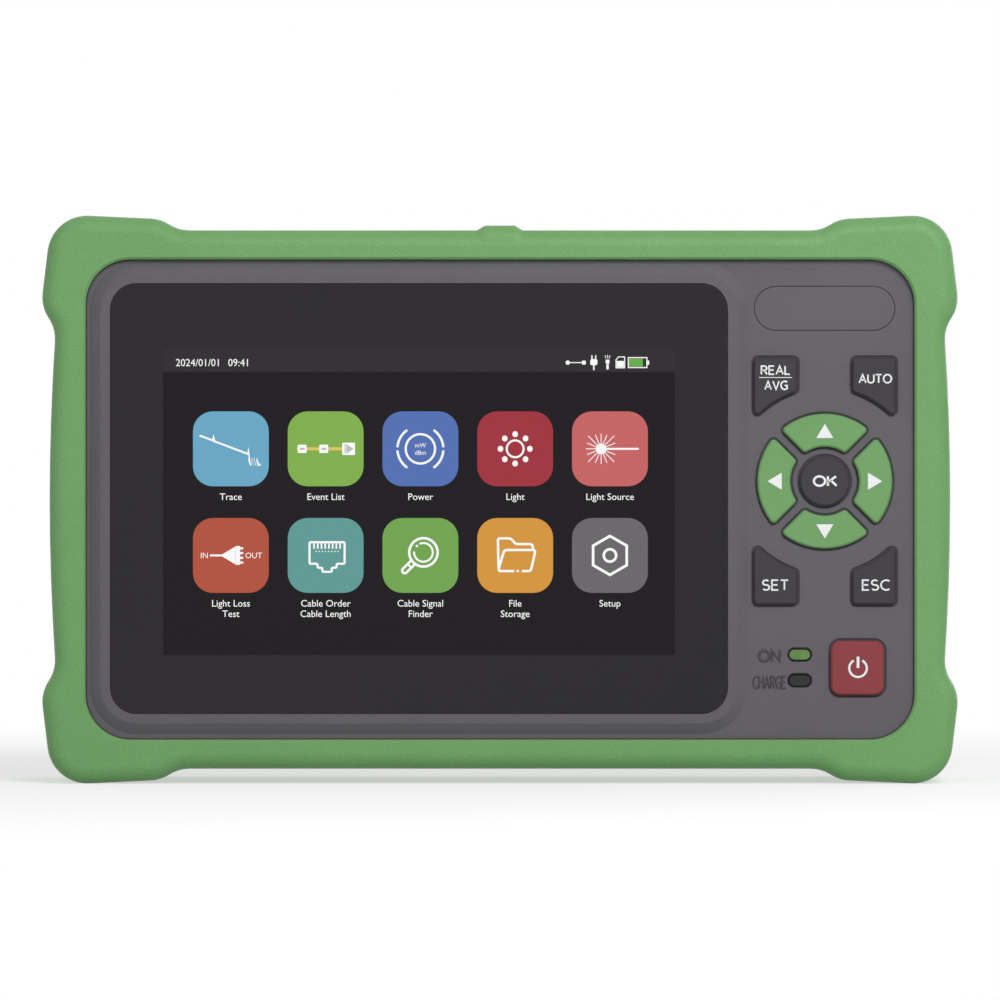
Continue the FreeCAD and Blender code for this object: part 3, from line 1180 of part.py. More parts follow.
def ports():
    """The three optical ports, the network socket and the two side sockets."""
    sleeve_bore = "sleeve_diameter"
    trace = port("trace_port", "trace_port_x", "port_flange", "port_barrel",
                 "port_barrel_height", sleeve_bore)
    trace.cut("z", "port_barrel_height - 3", "port_barrel_height", rectangle,
              ("0", "port_barrel/2", "2.2", "port_barrel/2"))
    sleeve = Piece("trace_sleeve").place("trace_port_x", "bay_y", BAY_FLOOR)
    low, high = "0 - bay_wall - port_tail_length + 1.5", "port_barrel_height - 3.2"
    sleeve.add("z", low, high, circle, ("0", "0", "sleeve_diameter"))
    sleeve.cut("z", f"{low} + 1", high, circle, ("0", "0", "ferrule + 2*ferrule_play"))
    bore = "ferrule + 2*ferrule_play"
    port("meter_port", "meter_port_x", "", "meter_barrel", "meter_barrel_height", bore)
    port("light_port", "light_port_x", "", "light_barrel", "light_barrel_height", bore)
    jack = Piece("network_socket").place("data_port_x", JACK_Y, BAY_FLOOR)
    jack.add("z", "jack_rise - jack_height", "jack_rise", rectangle,
             ("0", "0", "jack_width", "jack_depth"))
    jack.cut("z", "jack_rise - jack_mouth_length", "jack_rise", rectangle,
             ("0", "0", "jack_mouth_width", "jack_mouth_depth"),
             ("0", "jack_mouth_depth/2 + 1", "6", "2"))
    contacts = Piece("network_contacts").place("data_port_x", JACK_Y, BAY_FLOOR)
    contacts.add("z", "jack_rise - jack_mouth_length", "jack_rise - 2", rectangle,
                 *[(f"{step}*1.02", "0 - jack_mouth_depth/2 + 0.2", "0.4", "0.4")
                   for step in (-3.5, -2.5, -1.5, -0.5, 0.5, 1.5, 2.5, 3.5)])
    face = f"(case_side - 0.4)"
    supply = Piece("supply_socket")
    supply.add("x", f"{face} - supply_length", face, rectangle,
               ("bay_y", "supply_z", "supply_size", "supply_size"))
    supply.cut("x", f"{face} - supply_bore_depth", face, circle,
               ("bay_y", "supply_z", "supply_bore"))
    supply.add("x", f"{face} - supply_bore_depth", f"{face} - 1", circle,
               ("bay_y", "supply_z", "supply_pin"))
    bus = Piece("data_socket")
    bus.add("x", f"{face} - bus_length", face, rectangle,
            ("bay_y", "bus_z", "bus_thickness", "bus_width"))
    bus.cut("x", f"{face} - bus_length + 2", face, rectangle,
            ("bay_y", "bus_z", "bus_thickness - 2*bus_shell", "bus_width - 2*bus_shell"))
    bus.add("x", f"{face} - bus_length + 2", f"{face} - 1.5", rectangle,
            ("bay_y + 1", "bus_z", "bus_tongue", "bus_width - 2"))
    flange_spots = [(f"trace_port_x + {x}*(port_flange/2 - 1.7)", f"bay_y + {y}*(port_flange/2 - 1.7)")
                    for x, y in ((-1, 1), (1, -1))]
    screw = Piece("port_screws")
    seat = f"({BAY_FLOOR} + port_flange_thickness)"
    screw.add("z", seat, f"{seat} + 0.8", circle, *circles(flange_spots, "2.6"))
    board = Piece("side_board")
    rear = f"({face} - supply_length)"
    board.add("x", f"{rear} - board_thickness", rear, rectangle,
              ("bay_y", "(supply_z + bus_z)/2", "supply_size + 3", "bus_z - supply_z + 16"))


# ---------------------------------------------------------------------------
# Moving covers and the kickstand
# ---------------------------------------------------------------------------
def bay_door():
    """Door over the connector bay, with a barrel along its rear edge and a finger tab."""
    door = Piece("bay_door").place("0", "door_pin_y", DOOR_PIN_Z)
    top, under = "door_barrel/2", "door_barrel/2 - door_thickness"
    reach = "(door_pin_y - door_front)"
    door.add("z", under, top, rectangle, ("0", f"0 - {reach}/2", "door_width", reach))
    door.add("x", "0 - door_width/2", "door_width/2", circle, ("0", "0", "door_barrel"))
    door.add("y", f"0 - {reach}", f"0 - {reach} + tab_length", tab, ())
    door.cut("x", "0 - door_width/2", "door_width/2", circle,
             ("0", "0", "pin_diameter + 2*pin_play"))
    pin = Piece("bay_door_pin").place("0", "door_pin_y", DOOR_PIN_Z)
    half = "(door_width/2 + door_gap + 3.8)"
    pin.add("x", f"0 - {half}", half, circle, ("0", "0", "pin_diameter"))
    seal = Piece("bay_door_seal")
    width, depth = "bay_width - 2*seal_gap", "bay_depth - 2*seal_gap"
    seal.add("z", f"{DOOR_UNDER} - seal_height", DOOR_UNDER, rounded,
             ("0", "bay_y", width, depth, "2"))
    seal.cut("z", f"{DOOR_UNDER} - seal_height", DOOR_UNDER, rounded,
             ("0", "bay_y", f"{width} - 2*seal_width", f"{depth} - 2*seal_width", "1"))


def tab(sketch):
    """Front view of the finger tab, narrower at the top."""
    foot, top = "(door_barrel/2 - 0.4)", "(door_barrel/2 + door_drop + tab_height)"
    polygon(sketch, [("0 - tab_width/2", foot), ("tab_width/2", foot),
                     ("tab_top/2", top), ("0 - tab_top/2", top)])


def side_flap():
    """Flap over the side sockets, with a barrel along its rear edge."""
    flap = Piece("side_flap").place(FLAP_PIN_X, "flap_pin_y", "flap_z")
    outer, inner = "door_barrel/2", "door_barrel/2 - flap_thickness"
    reach = "(flap_pin_y - flap_front)"
    flap.add("x", inner, outer, rectangle, (f"0 - {reach}/2", "0", reach, "flap_height"))
    flap.add("z", "0 - flap_height/2", "flap_height/2", circle, ("0", "0", "door_barrel"))
    flap.add("x", outer, f"{outer} + 0.6", rounded,
             (f"0 - {reach} + 3", "0", "2.4", "14", "1"))
    flap.cut("z", "0 - flap_height/2", "flap_height/2", circle,
             ("0", "0", "pin_diameter + 2*pin_play"))
    pin = Piece("side_flap_pin").place(FLAP_PIN_X, "flap_pin_y", "flap_z")
    half = "(flap_height/2 + door_gap + 2.8)"
    pin.add("z", f"0 - {half}", half, circle, ("0", "0", "pin_diameter"))


def kickstand():
    """U-shaped stand hanging from two short pins, with a rubber foot."""
    stand = Piece("kickstand").place("0", STAND_PIN_Y, "stand_pin_z")
    near, far = "0 - stand_barrel/2", "0 - stand_barrel/2 + stand_thickness"
    bottom = "(stand_bottom - stand_pin_z)"
    stand.add("y", near, far, rectangle, ("0", f"{bottom}/2", "stand_width", f"0 - {bottom}"))
    lower = both(upright("y"), within(("0-stand_width", near, f"{bottom}-1"),
                                      ("stand_width", far, f"{bottom}+1")))
    stand.soften("stand_corner", lower)
    stand.cut("y", near, far, rounded,
              ("0", f"{bottom}/2 + stand_bar/2 + 6", "stand_width - 2*stand_bar",
               f"0 - {bottom} - stand_bar + 12", "5"))
    for side in (-1, 1):
        middle = f"({side}*{STAND_ARM_X})"
        stand.add("x", f"{middle} - stand_bar/2", f"{middle} + stand_bar/2", circle,
                  ("0", "0", "stand_barrel"))
    stand.cut("x", "0 - stand_width/2", "stand_width/2", circle,
              ("0", "0", "pin_diameter + 2*pin_play"))
    pins = Piece("kickstand_pins").place("0", STAND_PIN_Y, "stand_pin_z")
    half = "(stand_bar/2 + stand_gap + lug_width)"
    for side in (-1, 1):
        middle = f"({side}*{STAND_ARM_X})"
        pins.add("x", f"{middle} - {half}", f"{middle} + {half}", circle,
                 ("0", "0", "pin_diameter"))
    foot = Piece("kickstand_foot").place("0", STAND_PIN_Y, "stand_pin_z")
    foot.add("y", far, f"{far} + 0.5", stadium,
             ("0", f"{bottom} + stand_bar/2", "foot_width", "2*foot_height"))


for build in (bumper, front_case, rear_case, gasket, screen, keys, keypad, rear_fittings,
              main_board, ports, bay_door, side_flap, kickstand):
    build()
    doc.recompute()

# ---------------------------------------------------------------------------
# Check and write
# ---------------------------------------------------------------------------
faults = []
for item in doc.Objects:
    if "Invalid" in item.State or "Error" in item.State:
        faults.append(item.Name)
for piece in Piece.made:
    shape = piece.body.Shape
    if shape.isNull() or not shape.isValid() or shape.Volume <= 0:
        faults.append(piece.label)
if faults:
    raise RuntimeError("not built: " + ", ".join(faults))
for piece in Piece.made:
    shape = piece.body.Shape
    shape.exportStep(f"parts/{piece.label}.step")
    print(f"{piece.label}: {len(shape.Solids)} solids, {shape.Volume:.1f} mm3")
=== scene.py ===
# %% [markdown]
# # A handheld optical time domain reflectometer
# The tester is a thick green rubber bumper round a grey plastic case, with a five-inch lit screen under a
# dark window on the left and a keypad on the right. The solid model already holds every hard part and
# its movement. This lesson gives each part its finish, draws the picture on the lit screen, prints the
# keys, and lights the whole like a small studio.

# %% Load the solid model
import bmesh
import bpy
import json
import math
import numpy as np
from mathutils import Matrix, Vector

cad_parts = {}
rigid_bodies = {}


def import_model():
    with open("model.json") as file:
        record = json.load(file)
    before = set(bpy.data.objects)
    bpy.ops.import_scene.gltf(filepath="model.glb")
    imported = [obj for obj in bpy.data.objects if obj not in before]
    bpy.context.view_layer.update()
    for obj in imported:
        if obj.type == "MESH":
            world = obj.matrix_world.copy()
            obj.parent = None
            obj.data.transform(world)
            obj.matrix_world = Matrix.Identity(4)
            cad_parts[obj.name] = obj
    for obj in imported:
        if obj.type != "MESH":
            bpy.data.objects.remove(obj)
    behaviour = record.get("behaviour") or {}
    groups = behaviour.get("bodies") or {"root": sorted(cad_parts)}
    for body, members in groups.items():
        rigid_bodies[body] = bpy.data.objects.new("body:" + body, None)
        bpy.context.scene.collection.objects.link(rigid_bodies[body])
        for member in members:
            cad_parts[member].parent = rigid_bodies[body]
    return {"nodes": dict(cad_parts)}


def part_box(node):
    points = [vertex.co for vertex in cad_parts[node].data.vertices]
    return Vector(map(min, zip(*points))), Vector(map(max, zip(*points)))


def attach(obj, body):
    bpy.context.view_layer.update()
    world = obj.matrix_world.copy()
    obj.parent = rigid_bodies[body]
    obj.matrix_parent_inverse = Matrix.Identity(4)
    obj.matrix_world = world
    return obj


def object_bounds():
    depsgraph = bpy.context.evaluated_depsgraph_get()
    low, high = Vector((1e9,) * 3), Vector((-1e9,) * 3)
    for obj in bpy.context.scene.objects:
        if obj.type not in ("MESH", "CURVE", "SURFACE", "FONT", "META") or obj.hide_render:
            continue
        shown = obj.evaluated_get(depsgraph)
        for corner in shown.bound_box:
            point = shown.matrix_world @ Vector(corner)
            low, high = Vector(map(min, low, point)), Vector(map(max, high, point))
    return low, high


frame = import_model()
NODES = frame["nodes"]
CAD_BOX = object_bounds()
MM = 0.001
print("nodes:", len(NODES), "box:", [round(v / MM, 1) for corner in CAD_BOX for v in corner])

# %% [markdown]
# ## The studio
# The tester stands on its lower edge and is seen straight from the front. A short lens close by would
# show the sides of its deep case, so a long lens stands well away instead.

# %% Camera
def add_object(name, data):
    """A new object in the scene."""
    thing = bpy.data.objects.new(name, data)
    bpy.context.collection.objects.link(thing)
    return thing


VIEW_WIDTH = 210.94 * MM  # what the frame takes in at the front face
VIEW_MIDDLE = 59.9 * MM  # height of the middle of the frame
CAMERA_AWAY = 1.6
SENSOR_WIDTH = 36.0  # millimetres, as on a full-size film camera
front_face = CAD_BOX[0][1]
camera_data = bpy.data.cameras.new("camera")
camera_data.sensor_width = SENSOR_WIDTH
camera_data.lens = SENSOR_WIDTH * CAMERA_AWAY / VIEW_WIDTH
camera_data.clip_start, camera_data.clip_end = 0.05, 20.0
camera = add_object("camera", camera_data)
camera.location = (0.0, front_face - CAMERA_AWAY, VIEW_MIDDLE)
camera.rotation_euler = (math.radians(90.0), 0.0, 0.0)
bpy.context.scene.camera = camera
bpy.context.scene.view_settings.view_transform = "Standard"
print("lens:", round(camera_data.lens), "mm")

# %% [markdown]
# Nodes are easier to read when one call adds a node, sets its sockets and wires it. A value that is
# itself a socket is linked, anything else is written into the socket.

# %% Helpers for node trees
def empty_tree(owner):
    """The node tree of a material or world, emptied."""
    owner.use_nodes = True
    owner.node_tree.nodes.clear()
    return owner.node_tree


def add(tree, kind, sockets=None, **settings):
    """One shader node of a kind, its settings set, its sockets filled or linked by name or number."""
    node = tree.nodes.new("ShaderNode" + kind)
    for word, value in settings.items():
        setattr(node, word, value)
    for key, value in (sockets or {}).items():
        socket = node.inputs[key]
        if isinstance(value, bpy.types.NodeSocket):
            tree.links.new(value, socket)
        else:
            socket.default_value = value
    return node


def feed(tree, node, **sources):
    """Link sources to the node's sockets of those names."""
    for title, source in sources.items():
        tree.links.new(source, node.inputs[title.replace("_", " ")])


# %% [markdown]
# Colours are written the way a paint chart gives them, as display values. Blender works in linear light,
# so each is converted once, by the display's own curve, and not guessed by eye.

# %% Colours, mixes and ranges
def paint(red, green, blue):
    """A colour given as display values from 0 to 255, as the linear light Blender works in."""
    values = np.array([red, green, blue]) / 255.0
    linear = np.where(values <= 0.04045, values / 12.92, ((values + 0.055) / 1.055) ** 2.4)
    return (*linear.tolist(), 1.0)


def mix(tree, amount, first, second):
    """The colour at amount from first to second, each a socket or display values."""
    first, second = (end if isinstance(end, bpy.types.NodeSocket) else paint(*end) for end in (first, second))
    return add(tree, "Mix", {0: amount, 6: first, 7: second}, data_type="RGBA").outputs[2]


def times(tree, first, second):
    """The product of two values."""
    return add(tree, "Math", {0: first, 1: second}, operation="MULTIPLY").outputs[0]


def on_object(tree):
    """Where a point lies on its piece, in metres, so that a pattern keeps its real size."""
    return add(tree, "TexCoord").outputs["Object"]


def spread(tree, value, low, high, start=0.0, end=1.0):
    """value from start to end, carried to low to high."""
    return add(tree, "MapRange", {0: value, 1: start, 2: end, 3: low, 4: high}).outputs[0]


print("middle grey in linear light:", round(paint(128, 128, 128)[0], 3))


# %% [markdown]
# The world is an even soft light. The camera, a reflection and a view through glass all find it white,
# while the light that it sheds on the tester is dimmer: a colour then comes out about as it is written,
# and the background is still plain white.

# %% World
WORLD_LIGHT = 0.40


def background_rays(tree):
    """1 for the rays that show the background: to the camera, in a reflection, or through glass."""
    rays = add(tree, "LightPath")
    shown = rays.outputs["Is Camera Ray"]
    for kind in ("Is Glossy Ray", "Is Transmission Ray"):
        shown = add(tree, "Math", {0: shown, 1: rays.outputs[kind]}, operation="MAXIMUM").outputs[0]
    return shown


world = bpy.data.worlds.new("studio")
bpy.context.scene.world = world
tree = empty_tree(world)
strength = spread(tree, background_rays(tree), WORLD_LIGHT, 1.0)
sky = add(tree, "Background", {"Color": paint(255, 255, 255), "Strength": strength})
add(tree, "OutputWorld", {"Surface": sky.outputs[0]})
print("world light:", WORLD_LIGHT)


# %% [markdown]
# Three soft boxes give the forms their shading. The key light stands high on the right and models the
# bumper, the fill light opens the shadows from the left, and the back light reaches the rear and the
# right side. Large boxes are used because a small lamp would draw hard lines in the glossy parts.

# %% Lamps
def lamp(name, place, size, power):
    """A square soft box at place, facing the middle of the tester."""
    data = bpy.data.lights.new(name, "AREA")
    data.shape = "SQUARE"
    data.size = size
    data.energy = power
    box = add_object(name, data)
    box.location = place
    away = np.array(place) - (0.0, 0.0, VIEW_MIDDLE)
    box.rotation_euler = (math.acos(away[2] / np.linalg.norm(away)), 0.0, math.atan2(away[0], -away[1]))


lamp("key_light", (0.30, -0.80, 0.58), 0.36, 5.45)
lamp("fill_light", (-0.6, -1.0, 0.55), 0.7, 1.0)
lamp("back_light", (0.5, 1.1, 0.25), 0.9, 5.0)
print("lamps:", len(bpy.data.lights))

# %% [markdown]
# ## Surfaces from arrays
# Every new piece here is a grid of points: a function of two parameters worked out as whole arrays.
# One helper lays any number of such grids into one mesh. Points that fall on each other, as at the
# point of a triangle, are merged afterwards, because a face with no width shades badly.

# %% Faces of a grid
def faces_of(rows, columns, start, turned):
    """The quads between neighbouring points of a grid, numbered from start."""
    index = start + np.arange(rows * columns).reshape(rows, columns)
    a, b, c, d = index[:-1, :-1], index[:-1, 1:], index[1:, 1:], index[1:, :-1]
    order = (a, d, c, b) if turned else (a, b, c, d)
    return np.stack([corner.ravel() for corner in order], axis=1)


def area_of(across, up):
    """Signed area of the middle of a grid in the plane, positive when its quads run anticlockwise."""
    first = np.stack([np.diff(across, axis=1)[:-1], np.diff(up, axis=1)[:-1]])
    second = np.stack([np.diff(across, axis=0)[:, :-1], np.diff(up, axis=0)[:, :-1]])
    return float((first[0] * second[1] - first[1] * second[0]).sum())


print("quads of a 3 by 4 grid:", len(faces_of(3, 4, 0, False)))


# %% [markdown]
# A mesh becomes a piece when it has a finish and rides on a body of the solid model.
# Most pieces here are thin sheets in front of the panel, so one helper lays flat grids at a level; a
# raised letter is the same with a crown across each stroke.

# %% Grids into a piece
MERGE = 1e-7  # points nearer than this, in metres, are one


def link_piece(name, mesh, material, body="instrument"):
    """A mesh as a piece with its finish, on its body."""
    mesh.materials.clear()
    mesh.materials.append(material)
    piece = add_object(name, mesh)
    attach(piece, body)
    return piece


def count(start):
    """How many pieces have names that start so."""
    return len([piece for piece in bpy.data.objects if piece.name.startswith(start)])


def grid_piece(name, sheets, material, body="instrument"):
    """A piece made of sheets: the x, y and z of a grid in millimetres, and whether its quads are turned."""
    points, faces, start = [], [], 0
    for x, y, z, turned in sheets:
        points.append(np.stack([x, y, z], axis=-1).reshape(-1, 3))
        faces.append(faces_of(*x.shape, start, turned))
        start += x.size
    mesh = bpy.data.meshes.new(name)
    mesh.from_pydata((np.concatenate(points) * MM).tolist(), [], np.concatenate(faces).tolist())
    work = bmesh.new()
    work.from_mesh(mesh)
    bmesh.ops.remove_doubles(work, verts=work.verts, dist=MERGE)
    work.to_mesh(mesh)
    work.free()
    return link_piece(name, mesh, material, body)


def flat_piece(name, grids, middle, level, material, body="instrument", dome=0.0):
    """Grids of (across, up) in millimetres about a middle, laid facing the front at a level.

    With a dome, a row rises towards its middle as one less the square of the way across.
    """
    sheets = []
    for across, up in grids:
        rise = dome * (1.0 - np.linspace(-1.0, 1.0, across.shape[1]) ** 2) + np.zeros_like(across)
        sheets.append((middle[0] + across, level - rise, middle[1] + up, area_of(across, up) < 0))
    return grid_piece(name, sheets, material, body)


# %% [markdown]
# Signs, tiles and prints are made of four shapes. A curve object could draw them too, but as grids they
# are one function each, with even quads and nothing to convert. First the two round ones.

# %% Slabs and bands
CORNER_STEPS = 8


def slab(width, height, radius, across=0.0, up=0.0):
    """A rounded rectangle: rows run from bottom to top, and a row's half width follows the corner arc."""
    turn = np.linspace(0.0, np.pi / 2, CORNER_STEPS)
    level = height / 2 - radius + radius * np.sin(turn)
    half = width / 2 - radius + radius * np.cos(turn)
    v = np.concatenate([-level[::-1], level])
    w = np.concatenate([half[::-1], half])
    u = np.linspace(-1.0, 1.0, 5)
    return across + w[:, None] * u, up + np.repeat(v[:, None], u.size, axis=1)


def band(radius, width, start=0.0, end=360.0, across=0.0, up=0.0, steps=48):
    """Part of a ring: angle along it, distance from its middle across it."""
    angle = np.radians(np.linspace(start, end, steps))[:, None]
    reach = radius + width * np.array([-0.5, 0.5])
    return across + reach * np.cos(angle), up + reach * np.sin(angle)


print("points of a slab and of a ring:", slab(2, 1, 0.2)[0].size, band(1.0, 0.2)[0].size)


# %% [markdown]
# The other two are a line of even width and a triangle. Where a line turns, its edges meet on the mitre,
# as the corner of a picture frame does, and the mitre is capped so that a sharp turn grows no spike.

# %% Strokes and wedges
MITRE_CAP = 0.35


def stroke(points, width, across=0.0, up=0.0, closed=False, columns=2):
    """A line of even width: at each point its edges stand off along the mitre of its two directions."""
    path = np.array(points, dtype=float)
    before = np.roll(path, 1, axis=0)
    after = np.roll(path, -1, axis=0)
    if not closed:
        before[0] = 2 * path[0] - path[1]
        after[-1] = 2 * path[-1] - path[-2]
    ways = [step / np.linalg.norm(step, axis=1, keepdims=True) for step in (path - before, after - path)]
    sides = [np.stack([-way[:, 1], way[:, 0]], axis=1) for way in ways]
    mitre = sides[0] + sides[1]
    mitre /= np.maximum((mitre * sides[0]).sum(axis=1, keepdims=True), MITRE_CAP)
    if closed:
        path, mitre = (np.concatenate([part, part[:1]]) for part in (path, mitre))
    ways_out = np.linspace(-1.0, 1.0, columns)[:, None]
    edges = path[:, None, :] + mitre[:, None, :] * (width / 2) * ways_out
    return across + edges[..., 0], up + edges[..., 1]


def wedge(tip, base, width):
    """A triangle: rows run from the base to the tip and narrow in step."""
    tip, base = np.array(tip, dtype=float), np.array(base, dtype=float)
    way = (tip - base) / np.linalg.norm(tip - base)
    side = np.array([-way[1], way[0]])
    v = np.array([0.0, 1.0])[:, None, None]
    u = np.array([-0.5, 0.5])[:, None]
    points = base + v * (tip - base) + u * (1.0 - v) * width * side
    return points[..., 0], points[..., 1]


print("points of a stroke:", stroke([(0, 0), (1, 0), (1, 1)], 0.1)[0].size)


# %% [markdown]
# The words on the screen are small and many, and Blender's built-in letters are clear enough for them.
# A text is made a mesh first and its points are placed afterwards, so the piece stays at the origin.

# %% Captions from the built-in letters
def points_of(mesh):
    """A mesh's points as an array."""
    points = np.empty(len(mesh.vertices) * 3)
    mesh.vertices.foreach_get("co", points)
    return points.reshape(-1, 3)


def letter_mesh(text):
    """The built-in letters as a flat mesh, and its points as an array."""
    letters = bpy.data.curves.new("letters", "FONT")
    letters.body = text
    letters.align_x = "CENTER"
    letters.resolution_u = 3
    draft = add_object("letters_draft", letters)
    bpy.context.view_layer.update()
    mesh = bpy.data.meshes.new_from_object(draft.evaluated_get(bpy.context.evaluated_depsgraph_get()))
    bpy.data.objects.remove(draft)
    return mesh, points_of(mesh)


CAPITAL = float(np.ptp(letter_mesh("H")[1][:, 1]))
print("height of a built-in capital:", round(CAPITAL, 3))


def caption(name, text, height, middle, level, material, narrow=1.0):
    """A word on the screen: capitals of a height in millimetres, standing about a middle."""
    mesh, flat = letter_mesh(text)
    scale = height / CAPITAL
    x = middle[0] + flat[:, 0] * scale * narrow
    z = middle[1] + flat[:, 1] * scale - height / 2
    points = np.stack([x, np.full_like(x, level), z], axis=1) * MM
    mesh.vertices.foreach_set("co", points.ravel())
    mesh.update()
    mesh.name = name
    return link_piece(name, mesh, material)


# %% [markdown]
# The keys have plain letters of even line width, so they are drawn from strokes. A letter is a few
# paths in a box one unit high. Round parts are arcs, and the whole word is scaled to its own width.

# %% Bows and paths
def bow(middle, reach, start, end, steps=14):
    """Points of part of an ellipse about a middle, from one angle to another in degrees."""
    angle = np.radians(np.linspace(start, end, steps))
    return np.stack([middle[0] + reach[0] * np.cos(angle), middle[1] + reach[1] * np.sin(angle)], axis=1)


def path(*parts):
    """Points and bows joined into one path."""
    return np.concatenate([np.array(part, dtype=float).reshape(-1, 2) for part in parts])


# %% The letters
LETTERS = {
    "A": (0.68, [path((0, 0), (0.34, 1), (0.68, 0)), path((0.12, 0.34), (0.56, 0.34))]),
    "C": (0.64, [bow((0.42, 0.5), (0.41, 0.5), 52, 308, 24)]),
    "E": (0.50, [path((0.5, 1), (0, 1), (0, 0), (0.5, 0)), path((0, 0.52), (0.44, 0.52))]),
    "G": (0.68, [path(bow((0.42, 0.5), (0.41, 0.5), 50, 310, 24), (0.68, 0.14), (0.68, 0.48), (0.42, 0.48))]),
    "H": (0.60, [path((0, 0), (0, 1)), path((0.6, 0), (0.6, 1)), path((0, 0.52), (0.6, 0.52))]),
    "K": (0.60, [path((0, 0), (0, 1)), path((0.57, 1), (0, 0.36)), path((0.2, 0.58), (0.62, 0))]),
    "L": (0.46, [path((0, 1), (0, 0), (0.46, 0))]),
    "N": (0.62, [path((0, 0), (0, 1), (0.62, 0), (0.62, 1))]),
    "O": (0.80, [bow((0.4, 0.5), (0.4, 0.5), 0, 360, 33)]),
    "R": (0.56, [path((0, 0), (0, 1), (0.26, 1), bow((0.26, 0.74), (0.27, 0.26), 80, -80, 12), (0, 0.48)),
                 path((0.26, 0.48), (0.56, 0))]),
    "S": (0.54, [path(bow((0.27, 0.75), (0.25, 0.25), 40, 250), bow((0.27, 0.26), (0.27, 0.26), 75, -145))]),
    "T": (0.58, [path((0, 1), (0.58, 1)), path((0.29, 1), (0.29, 0))]),
    "U": (0.60, [path((0, 1), bow((0.3, 0.3), (0.3, 0.3), 180, 360), (0.6, 1))]),
    "V": (0.66, [path((0, 1), (0.33, 0), (0.66, 1))]),
}
LETTER_GAP = 0.2
print("letters drawn:", "".join(LETTERS))


# %% Words from the letters
CROWN_COLUMNS = 5  # points across a stroke that has a dome


def lettering(name, text, size, middle, level, weight, material, body="instrument", dome=0.0):
    """A word drawn from strokes, its outside scaled to a width and height in millimetres."""
    width = sum(LETTERS[letter][0] for letter in text) + LETTER_GAP * (len(text) - 1)
    scale = np.array([(size[0] - weight) / width, size[1] - weight])
    columns = CROWN_COLUMNS if dome else 2
    grids, start = [], -width / 2
    for letter in text:
        reach, paths = LETTERS[letter]
        for line in paths:
            closed = bool(np.allclose(line[0], line[-1]))
            points = (line[:-1] if closed else line) + (start, -0.5)
            grids.append(stroke(points * scale, weight, closed=closed, columns=columns))
        start += reach + LETTER_GAP
    return flat_piece(name, grids, middle, level, material, body, dome)


# %% [markdown]
# ## What surfaces have in common
# Moulded parts share the same few effects at different scales. Each is a node group built once. A group
# gives only what varies over the surface; the plain numbers stay on each material's own shader. The
# first is the grain that the mould leaves: rounded cells, roughened by a finer noise.

# %% Group: mould grain
def new_group(name, inputs, outputs):
    """An empty shader group with its sockets, and its input and output nodes."""
    group = bpy.data.node_groups.new(name, "ShaderNodeTree")
    for title, value in inputs:
        socket = group.interface.new_socket(title, in_out="INPUT", socket_type="NodeSocketFloat")
        socket.default_value = value
    for title, kind in outputs:
        group.interface.new_socket(title, in_out="OUTPUT", socket_type="NodeSocket" + kind)
    return group, group.nodes.new("NodeGroupInput"), group.nodes.new("NodeGroupOutput")


grain, into, out = new_group("mould_grain", [("Fineness", 1500.0), ("Depth", 0.00005)],
                             [("Normal", "Vector"), ("Hills", "Float")])
place = on_object(grain)
fineness = into.outputs["Fineness"]
cells = add(grain, "TexVoronoi", {"Vector": place, "Scale": fineness}, feature="SMOOTH_F1")
fine = add(grain, "TexNoise", {"Vector": place, "Scale": fineness, "Detail": 3.0, "Roughness": 0.6})
hills = add(grain, "Math", {0: fine.outputs["Fac"], 1: cells.outputs["Distance"]}, operation="SUBTRACT")
shaped = spread(grain, hills.outputs[0], 0.0, 1.0, -0.35, 0.65)
raised = add(grain, "Bump", {"Height": shaped, "Distance": into.outputs["Depth"]})
feed(grain, out, Normal=raised.outputs["Normal"], Hills=shaped)
print("grain sockets:", [socket.name for socket in grain.interface.items_tree])

# %% [markdown]
# Handling leaves broad faint blotches and tiny pale flecks, two noises far apart in scale. Edges are made
# lighter, partly as rubbed wear and partly as a painted highlight: a Bevel node bends the normal near an
# edge, and where it departs from the true normal, there is an edge.

# %% Groups: handling marks and lit edges
FLECK_SCALE = 2600.0
marks, into, out = new_group("handling", [("Size", 40.0)], [("Blotch", "Float"), ("Fleck", "Float")])
place = on_object(marks)
broad = add(marks, "TexNoise", {"Vector": place, "Scale": into.outputs["Size"], "Detail": 4.0,
                                "Roughness": 0.55})
specks = add(marks, "TexNoise", {"Vector": place, "Scale": FLECK_SCALE, "Detail": 1.0})
feed(marks, out, Blotch=spread(marks, broad.outputs["Fac"], 0.0, 1.0, 0.32, 0.68),
     Fleck=spread(marks, specks.outputs["Fac"], 0.0, 1.0, 0.45, 0.75))

# The edges that this mask finds are lightened: rubbed wear and a painted highlight.
edges, into, out = new_group("lit_edge", [("Width", 0.0006)], [("Edge", "Float")])
bent = add(edges, "Bevel", {"Radius": into.outputs["Width"]}, samples=6)
true = add(edges, "NewGeometry")
agree = add(edges, "VectorMath", {0: bent.outputs["Normal"], 1: true.outputs["Normal"]},
            operation="DOT_PRODUCT")
feed(edges, out, Edge=spread(edges, agree.outputs["Value"], 1.0, 0.0, 0.75, 0.995))
print("groups:", [group.name for group in bpy.data.node_groups])

# %% [markdown]
# A finish is then one Principled shader. Its colour runs from a base to a shade in the grain's hollows
# and in blotches, and to a lighter tone in flecks and along edges, where it is also a painted highlight.
# Its roughness follows the blotches.

# %% The moulded finish
def use(tree, group, **values):
    """One use of a shared group with its numbers set."""
    return add(tree, "Group", values, node_tree=group)


FINISH = {}


